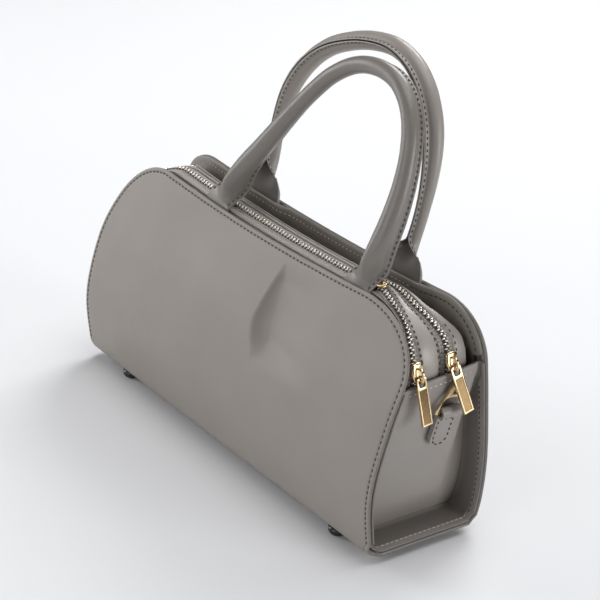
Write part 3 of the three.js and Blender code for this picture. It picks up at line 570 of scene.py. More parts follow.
def stitch_row(builder, points, normals, sink, slot=0):
    """A row of separate sewn stitches along a line of points on a surface."""
    travel = travel_along(points)
    count = max(int(travel[-1] / STITCH["pitch"]), 1)
    at = (np.arange(count) + 0.5) * travel[-1] / count
    middle = read_at(at, travel, points)
    outward = read_at(at, travel, normals)
    run = unit(read_at(at + HEADING_REACH, travel, points) - read_at(at - HEADING_REACH, travel, points))
    up = unit(outward - run * np.sum(run * outward, axis=1, keepdims=True))
    side = np.cross(run, up)
    turns = np.arange(STITCH_SIDES) * 2 * math.pi / STITCH_SIDES
    last_ring = (len(STITCH_RINGS) - 1) * STITCH_SIDES
    faces = []
    for ring in range(0, last_ring, STITCH_SIDES):
        for j in range(STITCH_SIDES):
            a, b = ring + j, ring + (j + 1) % STITCH_SIDES
            faces.append([a, a + STITCH_SIDES, b + STITCH_SIDES, b])
    faces.append(list(range(STITCH_SIDES)))
    faces.append([last_ring + j for j in reversed(range(STITCH_SIDES))])
    for k in range(count):
        base = middle[k] - sink * up[k]
        rings = []
        for along, girth, lift in STITCH_RINGS:
            centre = base + run[k] * along * STITCH["length"] / 2 + up[k] * lift * STITCH["half_height"]
            for turn in turns:
                rings.append(centre + girth * (STITCH["half_width"] * math.cos(turn) * side[k]
                                               + STITCH["half_height"] * math.sin(turn) * up[k]))
        builder.add(rings, faces, slot)


# Materials. A tone or a polish is spread over the middle part of a noise's range.
NOISE_SPAN = (0.3, 0.7)
NOISE_ROUGHNESS = 0.55


def new_material(name):
    material = bpy.data.materials.new(name)
    material.use_nodes = True
    tree = material.node_tree
    return material, tree, tree.nodes["Principled BSDF"]


def noise(tree, scale, detail):
    """A fractal texture fixed to the object."""
    place = tree.nodes.new("ShaderNodeTexCoord")
    texture = tree.nodes.new("ShaderNodeTexNoise")
    texture.inputs["Scale"].default_value = scale
    texture.inputs["Detail"].default_value = detail
    texture.inputs["Roughness"].default_value = NOISE_ROUGHNESS
    tree.links.new(place.outputs["Object"], texture.inputs["Vector"])
    return texture.outputs["Fac"]


def ramp(tree, source, stops):
    node = tree.nodes.new("ShaderNodeValToRGB")
    for element, (position, colour) in zip(node.color_ramp.elements, stops):
        element.position = position
        element.color = (*colour, 1.0)
    tree.links.new(source, node.inputs["Fac"])
    return node.outputs["Color"]


def span(tree, source, low, high, to_low, to_high):
    """A value carried from one range to another."""
    node = tree.nodes.new("ShaderNodeMapRange")
    node.inputs["From Min"].default_value = low
    node.inputs["From Max"].default_value = high
    node.inputs["To Min"].default_value = to_low
    node.inputs["To Max"].default_value = to_high
    tree.links.new(source, node.inputs["Value"])
    return node.outputs["Result"]


def bump(tree, height, strength, distance, previous=None):
    node = tree.nodes.new("ShaderNodeBump")
    node.inputs["Strength"].default_value = strength
    node.inputs["Distance"].default_value = distance
    tree.links.new(height, node.inputs["Height"])
    if previous is not None:
        tree.links.new(previous, node.inputs["Normal"])
    return node.outputs["Normal"]


def tinted(colour, factor):
    return tuple(channel * factor for channel in colour)


def mottled(tree, source, colour, dark, light):
    """A colour that runs from a darker tint to a lighter one over a texture."""
    low, high = NOISE_SPAN
    return ramp(tree, source, [(low, tinted(colour, dark)), (high, tinted(colour, light))])


def colour_mix(tree):
    node = tree.nodes.new("ShaderNodeMix")
    node.data_type = "RGBA"
    return node


# How pointed an edge is where the paling starts and where it is full, the share it then has, and its paler
# tint
EDGE_PALING = {"from": 0.53, "to": 0.62, "share": 0.35, "tint": 1.22}
POLISH_SPREAD = 0.05


def leather_material(name, colour, roughness, shine=0.55):
    """Smooth satin leather: a fine pore grain, faint clouding and paler pointed edges."""
    material, tree, shader = new_material(name)
    clouds = noise(tree, scale=16.0, detail=4.0)
    edges = tree.nodes.new("ShaderNodeNewGeometry")
    paled = span(tree, edges.outputs["Pointiness"], EDGE_PALING["from"], EDGE_PALING["to"], 0.0, EDGE_PALING["share"])
    mixed = colour_mix(tree)
    mixed.inputs["B"].default_value = (*tinted(colour, EDGE_PALING["tint"]), 1.0)
    tree.links.new(mottled(tree, clouds, colour, dark=0.95, light=1.05), mixed.inputs["A"])
    tree.links.new(paled, mixed.inputs["Factor"])
    tree.links.new(mixed.outputs["Result"], shader.inputs["Base Color"])
    gloss = noise(tree, scale=60.0, detail=3.0)
    polish = span(tree, gloss, *NOISE_SPAN, roughness - POLISH_SPREAD, roughness + POLISH_SPREAD)
    tree.links.new(polish, shader.inputs["Roughness"])
    place = tree.nodes.new("ShaderNodeTexCoord")
    pores = tree.nodes.new("ShaderNodeTexVoronoi")
    pores.inputs["Scale"].default_value = 1100.0
    tree.links.new(place.outputs["Object"], pores.inputs["Vector"])
    grain = bump(tree, pores.outputs["Distance"], strength=0.1, distance=0.00025)
    creases = noise(tree, scale=260.0, detail=5.0)
    soft = bump(tree, creases, strength=0.1, distance=0.0004, previous=grain)
    tree.links.new(soft, shader.inputs["Normal"])
    shader.inputs["Specular IOR Level"].default_value = shine
    return material


def fine_material(name, colour, scale, detail, tints, relief, polish=None):
    """A material whose tone, relief and polish follow one fine texture, and its shader."""
    material, tree, shader = new_material(name)
    texture = noise(tree, scale, detail)
    tree.links.new(mottled(tree, texture, colour, *tints), shader.inputs["Base Color"])
    tree.links.new(bump(tree, texture, relief, distance=0.0002), shader.inputs["Normal"])
    if polish is not None:
        tree.links.new(span(tree, texture, *NOISE_SPAN, *polish), shader.inputs["Roughness"])
    return material, shader


def edge_material(name, colour):
    """The painted, burnished cut edge of the leather."""
    material, unused = fine_material(name, colour, scale=220.0, detail=3.0, tints=(0.9, 1.1), relief=0.15,
                                     polish=(0.32, 0.45))
    return material


def thread_material(name, colour):
    material, shader = fine_material(name, colour, scale=1800.0, detail=3.0, tints=(0.75, 1.2), relief=0.4)
    shader.inputs["Roughness"].default_value = 0.7
    return material


def tape_material(name, colour):
    """Woven zip tape: fine ribs along it and a cross weave, fuzzy at a grazing angle."""
    material, tree, shader = new_material(name)
    uv = tree.nodes.new("ShaderNodeUVMap")
    uv.uv_map = UV_NAME
    weave = {}
    for direction, scale in (("X", 0.15), ("Y", 0.3)):
        wave = tree.nodes.new("ShaderNodeTexWave")
        wave.bands_direction = direction
        wave.inputs["Scale"].default_value = scale
        wave.inputs["Distortion"].default_value = 0.6
        wave.inputs["Detail"].default_value = 2.0
        tree.links.new(uv.outputs["UV"], wave.inputs["Vector"])
        weave[direction] = wave.outputs["Fac"]
    fuzz = noise(tree, scale=900.0, detail=4.0)
    # The valleys between the ribs are darkened in colour as painted shade.
    shaded_rib, full_rib = (0.5, 0.5, 0.5), (1.0, 1.0, 1.0)
    shade = colour_mix(tree)
    shade.blend_type = "MULTIPLY"
    shade.inputs["Factor"].default_value = 0.7
    tree.links.new(mottled(tree, fuzz, colour, dark=0.72, light=1.22), shade.inputs["A"])
    tree.links.new(ramp(tree, weave["X"], [(0.0, shaded_rib), (0.55, full_rib)]), shade.inputs["B"])
    tree.links.new(shade.outputs["Result"], shader.inputs["Base Color"])
    relief = None
    for source, strength in ((weave["X"], 0.4), (weave["Y"], 0.15), (fuzz, 0.35)):
        relief = bump(tree, source, strength, distance=0.0003, previous=relief)
    tree.links.new(relief, shader.inputs["Normal"])
    shader.inputs["Roughness"].default_value = 0.85
    shader.inputs["Sheen Weight"].default_value = 0.35
    return material


def metal_material(name, colour, low, high):
    """Polished plated metal with faint handling marks."""
    material, shader = fine_material(name, colour, scale=350.0, detail=5.0, tints=(0.94, 1.04), relief=0.05,
                                     polish=(low, high))
    shader.inputs["Metallic"].default_value = 1.0
    return material


def floor_material(name):
    material, tree, shader = new_material(name)
    drift = noise(tree, scale=1.5, detail=2.0)
    low, high = NOISE_SPAN
    tone = ramp(tree, drift, [(low, (0.795, 0.802, 0.825)), (high, (0.812, 0.82, 0.838))])
    tree.links.new(tone, shader.inputs["Base Color"])
    shader.inputs["Roughness"].default_value = 0.75
    shader.inputs["Specular IOR Level"].default_value = 0.15
    return material


TAUPE = (0.29, 0.265, 0.243)
leather = leather_material("taupe_leather", TAUPE, 0.38)
panel_leather = leather_material("panel_leather", tinted(TAUPE, 1.02), 0.5, 0.35)
facing_leather = leather_material("facing_leather", tinted(TAUPE, 0.95), 0.45)
# One leather for both handles: darker on the front one as painted shade, paler on the back one as painted
# light.
handle_shade_and_light_leathers = {
    "front": leather_material("front_handle_painted_shade", tinted(TAUPE, 0.69), 0.34),
    "back": leather_material("back_handle_painted_light", tinted(TAUPE, 1.09), 0.36),
}
# The gusset walls' leather darkened as painted shade in the recess.
gusset_wall_painted_shade = leather_material("gusset_wall_painted_shade", tinted(TAUPE, 0.6), 0.7, 0.15)
# The middle band's leather made paler as a painted highlight along its glossy crown.
band_painted_highlight = leather_material("band_painted_highlight", tinted(TAUPE, 1.2), 0.33)
# The inside of the rolled handles darkened as painted shade.
handle_inside_shade = leather_material("handle_inside_painted_shade", tinted(TAUPE, 0.5), 0.7)
# The painted cut edge, darkened as painted shade on the rims of the wrap, gussets, facing and back border and
# in the gaps between them.
shaded_rim_paint = edge_material("shaded_rim_paint", tinted(TAUPE, 0.6))
# The same edge paint made paler as a painted highlight on the rims of the handles and the top's strips.
highlit_rim_paint = edge_material("highlit_rim_paint", tinted(TAUPE, 1.12))
# The thread in a tone much darker than its own, as painted shade for the holes it sinks into and for runs in
# shade.
shaded_thread = thread_material("shaded_thread", (0.075, 0.066, 0.058))
# The same thread made paler as painted light, for runs where it catches more light than the leather round it.
lit_thread = thread_material("lit_thread", (0.62, 0.57, 0.5))
tape = tape_material("zip_tape", (0.34, 0.31, 0.285))
gold = metal_material("pale_gold", (0.66, 0.51, 0.31), 0.12, 0.2)
shaded_gold = metal_material("shaded_gold", (0.13, 0.09, 0.045), 0.2, 0.32)
teeth_metal = metal_material("zip_teeth", (0.68, 0.64, 0.58), 0.22, 0.34)
dark_metal = metal_material("dark_stud", (0.09, 0.085, 0.08), 0.25, 0.38)


def finished(piece, body, slot, *nodes):
    """Fixes a piece to its body and hides the solids it stands for; the slot is not used."""
    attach(piece, body)
    if nodes:
        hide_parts(*nodes)
    return piece


def leather_piece(node, sheet, thickness, rim, materials, name=None):
    """A sheet made solid, as a leather piece of the bag."""
    points, faces, slots = sheet.solid(thickness, rim)
    piece = add_object(name or node + "_leather", points, faces, materials, slots)
    return finished(piece, "bag", "leather", node)


def sewn_piece(builder, name, *threads):
    """Gathered stitches, as a piece of the bag."""
    return finished(builder.piece(name, threads), "bag", "leather")


def mirror_to(side):
    """Factors that turn the right end into the end on a given side."""
    return np.array([side, 1.0, 1.0])


# Arched sheets: rows that follow a sewn edge, then spread down to a straight foot.
EDGE_STEPS = np.array([0.0, 0.3, 0.65, 1.05, 1.45, 1.8, 2.1, 2.4, 2.7, 3.0, 3.4, 4.2, 6.0, 8.5, 12.0])
SHOULDER_COLUMNS = 64
# Columns under the straight top edge, closer together over the fold
TOP_COLUMNS = np.concatenate([np.arange(-97.0, 14.0, 3.0), np.arange(14.0, 64.0, 1.1),
                              np.arange(64.0, 94.4, 3.0)])
TOP_SHARES = (TOP_COLUMNS - TOP_COLUMNS[0]) / (TOP_COLUMNS[-1] - TOP_COLUMNS[0])


def arch_columns(line, tops):
    """Points on an arched outline for the columns of a sheet, and where each column reaches the foot."""
    travel = travel_along(line)
    left_top = np.interp(-tops[0], line[:, 0], travel)
    right_top = np.interp(tops[1], line[:, 0], travel)
    shoulder = np.linspace(0.0, 1.0, SHOULDER_COLUMNS)
    places = np.concatenate([left_top * shoulder[:-1], lerp(left_top, right_top, TOP_SHARES),
                             lerp(right_top, travel[-1], shoulder[1:])])
    ends = line[0, 0] + EDGE_STEPS[-1], line[-1, 0] - EDGE_STEPS[-1]
    feet = np.concatenate([lerp(ends[0], -tops[0], shoulder[:-1]), lerp(-tops[0], tops[1], TOP_SHARES),
                           lerp(tops[1], ends[1], shoulder[1:])])
    return read_at(places, travel, line), feet


def arch_grid(line, tops, foot, count):
    """X, height and distance from the edge over a sheet under an arched outline."""
    columns, feet = arch_columns(line, tops)
    inward = directions_along(columns)[1]
    edge = columns[None] + EDGE_STEPS[:, None, None] * inward[None]
    goal = np.stack([feet, np.full(len(feet), foot)], axis=1)
    shares = np.linspace(0.0, 1.0, count)[1:, None, None]
    grid = np.concatenate([edge, lerp(edge[-1][None], goal[None], shares)])
    distance = np.concatenate([EDGE_STEPS, np.full(count - 1, EDGE_STEPS[-1])])
    return grid[..., 0], grid[..., 1], distance[:, None]


def foot_line(grid):
    """The points along a sheet's straight foot, from its left edge to its right one."""
    edge = len(EDGE_STEPS)
    return np.concatenate([grid[:edge, 0], grid[-1, 1:-1], grid[:edge, -1][::-1]])


# Outer wrap
WRAP_ROWS = {"front": 70, "back": 42, "bend": 8, "base": 16}


def on_panel(panel_name, x, height):
    """Points on a panel and the directions out of it."""
    facing = PANELS[panel_name]["facing"]
    normals = surface_normal(lambda a, b: panel_point(panel_name, a, b), x, height, facing)
    return panel_point(panel_name, x, height), normals


def wrap_panel(panel_name):
    """The points of a panel from its sewn edge to its lower bend."""
    panel = PANELS[panel_name]
    foot = FOOT_HEIGHT + LOWER_BENDS[panel_name]
    tops = panel["left"][0], panel["right"][0]
    x, height, distance = arch_grid(panel_outline(panel_name, 0.0), tops, foot, WRAP_ROWS[panel_name])
    points, normals = on_panel(panel_name, x, height)
    return points + normals * seam_relief(distance)[..., None]


def wrap_bend(panel_name, foot_x):
    """Rows round the quarter turn from a panel's foot to the base."""
    radius = LOWER_BENDS[panel_name]
    foot = FOOT_HEIGHT + radius
    facing = PANELS[panel_name]["facing"]
    rows = []
    for turn in np.linspace(0.0, math.pi / 2, WRAP_ROWS["bend"] + 1)[1:]:
        half = HALF_LENGTH - corner_dent(panel_name, turn)
        x = foot_x * half / HALF_LENGTH
        relief = seam_relief(half - np.abs(x))
        y = panel_y(panel_name, x, foot) - facing * radius * (1.0 - math.cos(turn))
        z = foot - radius * math.sin(turn)
        rows.append(np.stack([x, y + facing * math.cos(turn) * relief, z - math.sin(turn) * relief], axis=1))
    return np.array(rows)


def outer_wrap():
    front, back = wrap_panel("front"), wrap_panel("back")
    front_foot, back_foot = foot_line(front), foot_line(back)
    front_bend = wrap_bend("front", front_foot[:, 0])
    back_bend = wrap_bend("back", back_foot[:, 0])
    shares = np.linspace(0.0, 1.0, WRAP_ROWS["base"] + 2)[1:-1, None, None]
    base = lerp(front_bend[-1][None], back_bend[-1][None], shares)
    under = np.concatenate([front_foot[None], front_bend, base, back_bend[::-1], back_foot[None]])
    sheet = Sheet().add_grid(front, True).add_grid(under, True).add_grid(back)
    return leather_piece("outer_wrap", sheet, WRAP_LEATHER, RIMS["wrap"], [panel_leather, shaded_rim_paint])


def panel_stitches():
    builder = Builder()
    for panel_name in PANELS:
        line = panel_outline(panel_name, SEAM_INSET)
        stitch_row(builder, *on_panel(panel_name, line[:, 0], line[:, 1]), SINKS["panel"])
    return sewn_piece(builder, "panel_stitches", shaded_thread)


# End gussets
GUSSET_GRID = {"upright": 52, "corner": 6, "across": 36}


def hem_height(y):
    front, back = edge_y("front", HEM["front"]), edge_y("back", HEM["back"])
    return lerp(HEM["front"], HEM["back"], np.clip((y - front) / (back - front), 0.0, 1.0))


def end_half_width(side, y, height):
    share = smoothstep(y, -BASE_DEPTH / 4, BASE_DEPTH / 4)
    return lerp(half_width("front", side, height), half_width("back", side, height), share)


def gusset_face_x(side, y, height):
    turn = smoothstep(y, *GUSSET_TURN)
    sink = lerp(SINK_CURVES["front"](height), SINK_CURVES["back"](height), turn)
    return end_half_width(side, y, height) - sink


def gusset_path(side):
    """Y, Z, edge, inward direction and field place where a gusset's wall meets the wrap."""
    floor = FOOT_HEIGHT + GUSSET_LIE
    rows, corners, columns = GUSSET_GRID["upright"], GUSSET_GRID["corner"], GUSSET_GRID["across"]
    path = []
    walls = {}
    for panel_name in ("front", "back"):
        facing = PANELS[panel_name]["facing"]
        corner = GUSSET_CORNERS[panel_name]
        heights = np.linspace(HEM[panel_name], floor + corner, rows + 1)
        wall = edge_y(panel_name, heights) - facing * GUSSET_LIE
        edges = half_width(panel_name, side, heights) - GUSSET_EDGE_INSET
        upright = [(wall[k], heights[k], edges[k], (-facing, 0.0), k) for k in range(rows + 1)]
        arc = []
        for k in range(1, corners):
            turn = (k / corners) * math.pi / 2
            y = wall[-1] - facing * corner * (1 - math.cos(turn))
            z = floor + corner * (1 - math.sin(turn))
            edge = HALF_LENGTH - corner_dent(panel_name, turn) - GUSSET_EDGE_INSET
            arc.append((y, z, edge, (-facing * math.cos(turn), math.sin(turn)), rows))
        walls[panel_name] = upright + arc
    front_end = walls["front"][rows][0] + GUSSET_CORNERS["front"]
    back_end = walls["back"][rows][0] - GUSSET_CORNERS["back"]
    for y, z, edge, inward, row in walls["front"]:
        path.append((y, z, edge, inward, (row, 0)))
    for k in range(columns + 1):
        y = lerp(front_end, back_end, k / columns)
        path.append((y, floor, HALF_LENGTH - GUSSET_EDGE_INSET, (0.0, 1.0), (rows, k)))
    for y, z, edge, inward, row in reversed(walls["back"]):
        path.append((y, z, edge, inward, (row, columns)))
    return path


def gusset_field(side):
    floor = FOOT_HEIGHT + GUSSET_LIE + GUSSET_FIELD_INSET
    down = np.linspace(0.0, 1.0, GUSSET_GRID["upright"] + 1)[:, None]
    share = np.linspace(0.0, 1.0, GUSSET_GRID["across"] + 1)[None, :]
    rough = lerp(HEM["front"], floor, down)
    front = edge_y("front", rough) + GUSSET_LIE + GUSSET_FIELD_INSET
    back = edge_y("back", rough) - GUSSET_LIE - GUSSET_FIELD_INSET
    y = lerp(front, back, share)
    height = lerp(hem_height(y), floor, down)
    return np.stack([gusset_face_x(side, y, height), y, height], axis=2)


# A gusset's wall is finer near its seam, and its rows darkened as painted shade run from below the seam round
# the fillet.
GUSSET_SEAM = {"inset": 3.2, "dip": 0.3, "reach": 0.8, "dips_from": 6.0, "sewn_from": 6.5, "under": 0.7}
GUSSET_WALL_STEPS = (0.0, 0.8, 1.6, 2.4, 3.2, 4.0, 5.0)
GUSSET_LOWER_SHARES = (0.35, 0.7, 1.0)
GUSSET_FILLET_SHARE = 0.6
GUSSET_FILLET_STEPS = 5
GUSSET_FIELD_STEPS = 5
GUSSET_SHADED_ROWS = range(5, 14)
HEM_SEAM = {"from_edge": 9.0, "below": 4.0, "points": 60, "tilt": 0.15}


def wall_section(edge, face):
    """X and the inward distance down a gusset's wall, from its edge round the fillet to its face."""
    fillet = min(GUSSET_FILLET, (edge - face) * GUSSET_FILLET_SHARE)
    depth = edge - face - fillet
    last = GUSSET_WALL_STEPS[-1]
    section = []
    for step in GUSSET_WALL_STEPS:
        down = min(step, depth * step / last)
        away = (down - GUSSET_SEAM["inset"]) / GUSSET_SEAM["reach"]
        dip = GUSSET_SEAM["dip"] * math.exp(-(away ** 2)) if depth > GUSSET_SEAM["dips_from"] else 0.0
        section.append((edge - down, -dip))
    for share in GUSSET_LOWER_SHARES:
        section.append((edge - lerp(min(last, depth), depth, share), 0.0))
    for step in range(1, GUSSET_FILLET_STEPS + 1):
        turn = step / GUSSET_FILLET_STEPS * math.pi / 2
        section.append((face + fillet * (1 - math.sin(turn)), fillet * (1 - math.cos(turn))))
    return section


def gusset(name, side):
    field = gusset_field(side)
    columns = []
    for y, z, edge, (in_y, in_z), (i, j) in gusset_path(side):
        section = wall_section(edge, float(gusset_face_x(side, y, z)))
        points = [np.array([x, y + in_y * inward, z + in_z * inward]) for x, inward in section]
        start, goal = points[-1], field[i, j]
        for step in range(1, GUSSET_FIELD_STEPS):
            flat = lerp(start, goal, step / GUSSET_FIELD_STEPS)
            points.append(np.array([float(gusset_face_x(side, flat[1], flat[2])), flat[1], flat[2]]))
        columns.append(points + [goal])
    rings = np.array(columns).transpose(1, 0, 2)
    sheet = Sheet()
    sheet.add_grid(rings * mirror_to(side), side < 0, GUSSET_SHADED_ROWS)
    sheet.add_grid(field[::-1] * mirror_to(side), side < 0)
    # The wall rows take the darker leather as painted shade.
    materials = [leather, shaded_rim_paint, gusset_wall_painted_shade]
    piece_name = "gusset_leather_" + name
    return leather_piece("gusset_" + name, sheet, GUSSET_LEATHER, RIMS["gusset"], materials, piece_name)


def gusset_stitches(name, side):
    """Rows up both walls in the thread darkened as painted shade, and rows along the base and under the hem
    in the paler thread as painted light.
    """
    builder = Builder()
    runs = {"front": [], "under": [], "back": []}
    for y, z, edge, (in_y, in_z), unused in gusset_path(side):
        if edge - float(gusset_face_x(side, y, z)) < GUSSET_SEAM["sewn_from"]:
            continue
        run = "under" if in_z > GUSSET_SEAM["under"] else "front" if in_y > 0 else "back"
        point = np.array([edge - GUSSET_SEAM["inset"], y, z]) * mirror_to(side)
        runs[run].append(np.concatenate([point, (0.0, in_y, in_z)]))
    for run, slot in (("front", 0), ("back", 0), ("under", 1)):
        line = np.array(runs[run])
        stitch_row(builder, line[:, :3], line[:, 3:], SINKS["seam"], slot)
    first = edge_y("front", HEM["front"]) + HEM_SEAM["from_edge"]
    last = edge_y("back", HEM["back"]) - HEM_SEAM["from_edge"]
    y = np.linspace(first, last, HEM_SEAM["points"])
    height = hem_height(y) - HEM_SEAM["below"]
    hem = np.stack([gusset_face_x(side, y, height), y, height], axis=1) * mirror_to(side)
    normals = np.repeat([[side, 0.0, HEM_SEAM["tilt"]]], len(hem), axis=0)
    stitch_row(builder, hem, normals, SINKS["hem"], 1)
    return sewn_piece(builder, "gusset_stitches_" + name, shaded_thread, lit_thread)


# Back facing
FACING_ROWS = {"arch": 14, "tongue": 10}
FACING_SEAM = {"inset": 4.2, "dip": 0.3, "pale_to": 88.0}


def facing_inset(height):
    return lerp(FACING["hem_inset"], FACING["edge_inset"], smoothstep(height, *FACING["widens"]))


def facing_outline(inset):
    line, unused, inward = arched_line("back", FACING["widens"][1], *OUTLINES["facing"], facing_inset)
    return line + inset * inward


def back_facing():
    """The facing's arched sheet, and the tongue that narrows below it."""
    foot = FACING["widens"][1]
    inset = FACING["edge_inset"]
    tops = PANELS["back"]["left"][0] - inset, PANELS["back"]["right"][0] - inset
    x, height, distance = arch_grid(facing_outline(0.0), tops, foot, FACING_ROWS["arch"])
    normal = surface_normal(facing_point, x, height, -1)
    relief = seam_relief(distance, FACING_SEAM["inset"], FACING_SEAM["dip"])
    arch = facing_point(x, height) + normal * relief[..., None]
    first = foot_line(arch)
    tongue = [first]
    for low in np.linspace(foot, FACING["foot"], FACING_ROWS["tongue"])[1:]:
        narrowed = half_width("back", first[:, 0], low) - facing_inset(low)
        full = half_width("back", first[:, 0], foot) - inset
        tongue.append(facing_point(first[:, 0] * narrowed / full, low))
    sheet = Sheet().add_grid(arch, True).add_grid(tongue, True)
    return leather_piece("back_facing", sheet, FACING_LEATHER, RIMS["facing"], [facing_leather, shaded_rim_paint])


def facing_stitches():
    builder = Builder()
    line = facing_outline(FACING_SEAM["inset"])
    x, height = line[:, 0], line[:, 1]
    normals = surface_normal(facing_point, x, height, -1)
    points = facing_point(x, height)
    # Left of pale_to the run gets the paler thread and beyond it the darker one: the thread's tone there is
    # painted light and shade.
    pale = x < FACING_SEAM["pale_to"]
    for slot, part in enumerate((pale, ~pale)):
        stitch_row(builder, points[part], normals[part], SINKS["seam"], slot)
    return sewn_piece(builder, "facing_stitches", lit_thread, shaded_thread)


# Zipped top

def arch_stations():
    """Places along the arch of the zipped top, inside the front panel's outline, and its strips' edges."""
    line, run, inward = arched_line("front", STRIP_END_HEIGHT, *OUTLINES["strip"])
    out = -inward
    inset = lerp(STRIP_INSET["top"], STRIP_INSET["end"], np.abs(out[:, 0]))
    x = line[:, 0] - out[:, 0] * inset
    height = line[:, 1] - out[:, 1] * inset
    z = height - sag_at("front", line[:, 0], line[:, 1])
    nothing = np.zeros(len(line))
    along = np.linspace(0.0, 1.0, len(line))
    lie = (WRAP_LEATHER + lerp(SEAM_GAP, STRAP_SLOT, smoothstep(height, *STRAPS_FROM))) * LEAN_ALLOWANCE
    arch = {name: strip_column(name, along) for name in STRIP_COLUMNS[1:]}
    arch["front"] = panel_y("front", x, height) + lie
    arch["border"] = np.maximum(arch["border"], arch["front"] + LEAST_BORDER)
    arch["end"] = np.minimum(arch["end"], facing_y(x, height) - SEAM_GAP * LEAN_ALLOWANCE)
    arch["x"] = x
    arch["z"] = z
    arch["normal"] = np.stack([out[:, 0], nothing, out[:, 1]], axis=1)
    arch["run"] = np.stack([run[:, 0], nothing, run[:, 1]], axis=1)
    arch["travel"] = travel_along(np.stack([x, nothing, z], axis=1))
    return arch


ARCH = arch_stations()


def strip_point(y, lift):
    """Points over the whole arch at a Y and a lift that may change along it."""
    base = np.stack([ARCH["x"], np.broadcast_to(y, ARCH["x"].shape), ARCH["z"]], axis=1)
    return base + ARCH["normal"] * np.broadcast_to(lift, ARCH["x"].shape)[:, None]


def strip_between(start, stop):
    """Where a strip between two edges begins, and its width."""
    begin = ARCH[start] + SEAM_GAP / 2
    return begin, ARCH[stop] - SEAM_GAP / 2 - begin


def strip_rows(start, stop, shares, lifts):
    """Rows of points across a strip between two edges."""
    begin, width = strip_between(start, stop)
    rows = [strip_point(begin + share * width, lift) for share, lift in zip(shares, lifts)]
    return np.array(rows).transpose(1, 0, 2)


def chain_line(start, stop):
    """The line down the middle of a zip."""
    return np.stack([ARCH["x"], (ARCH[start] + ARCH[stop]) / 2, ARCH["z"]], axis=1)


STRIP_SHARES = np.linspace(0.0, 1.0, 13)
CROWN_POWER = 2.6


def leather_strip(node, start, stop, crown, material):
    lifts = crown * (1.0 - np.abs(2 * STRIP_SHARES - 1.0) ** CROWN_POWER)
    sheet = Sheet().add_grid(strip_rows(start, stop, STRIP_SHARES, lifts), True)
    return leather_piece(node, sheet, STRIP_LEATHER, RIMS["strip"], [material, highlit_rim_paint])


TAPE_SHARES = np.linspace(0.0, 1.0, 33)
TAPE = {"rib": 0.16, "rib_pitch": 1.5, "ribs_from": 2.6, "cord": 0.5, "cord_place": 2.2, "cord_reach": 0.7}


def zip_tape(name, start, stop, sunk, node):
    """The woven tape, ribbed along its length beside the chain."""
    unused, width = strip_between(start, stop)
    low = -ARCH["groove"] if sunk else np.zeros(len(width))
    lifts = []
    for share in TAPE_SHARES:
        from_middle = np.abs(share - 0.5) * width
        rib = TAPE["rib"] * np.cos(from_middle * 2 * math.pi / TAPE["rib_pitch"])
        cord = TAPE["cord"] * np.exp(-(((from_middle - TAPE["cord_place"]) / TAPE["cord_reach"]) ** 2))
        lifts.append(low + np.where(from_middle > TAPE["ribs_from"], rib, 0.0) + cord)
    rows = strip_rows(start, stop, TAPE_SHARES, lifts)
    points, faces, slots = Sheet().add_grid(rows, True).solid(ZIP_TAPE, RIMS["tape"])
    along = np.repeat(ARCH["travel"], len(TAPE_SHARES))
    face_uvs = np.stack([along, rows[:, :, 1].ravel()], axis=1)
    rim_uvs = np.zeros((len(points) - 2 * len(face_uvs), 2))
    uvs = np.concatenate([face_uvs, face_uvs, rim_uvs])
    return finished(add_object(name, points, faces, [tape, tape], slots, uvs), "bag", "zip", node)


TOOTH = {
    "pitch": 2.7,
    "half": 0.5,
    "over": 0.5,
    "foot": 0.25,
    "height": 1.7,
    "full_reach": 1.5,
    "tail": 0.94,
    "tail_girth": 0.72,
    "shoulder": 0.72,
    "head_girth": 0.62,
    "head_trim": 0.3,
    "stagger": 0.25,
}
CHAIN_SHARE = 0.8
# The dark ground under the teeth, a strip in the darkened thread's colour that stands for the shade between
# the teeth: places across the chain and how high they lie
CHAIN_SHADE_STRIP = ((-1.05, -0.2), (-0.9, 0.35), (0.9, 0.35), (1.05, -0.2))


def tooth_faces(hand):
    """Three levels of four corners joined into a closed tooth, for either side of the chain."""
    order = (0, 1, 3, 2)
    faces = []
    for level in (0, 4):
        for j in range(4):
            a, b = level + order[j], level + order[(j + 1) % 4]
            faces.append([a, b, b + 4, a + 4])
    faces.append([8 + i for i in order])
    faces.append(list(order[::-1]))
    return faces if hand > 0 else [face[::-1] for face in faces]


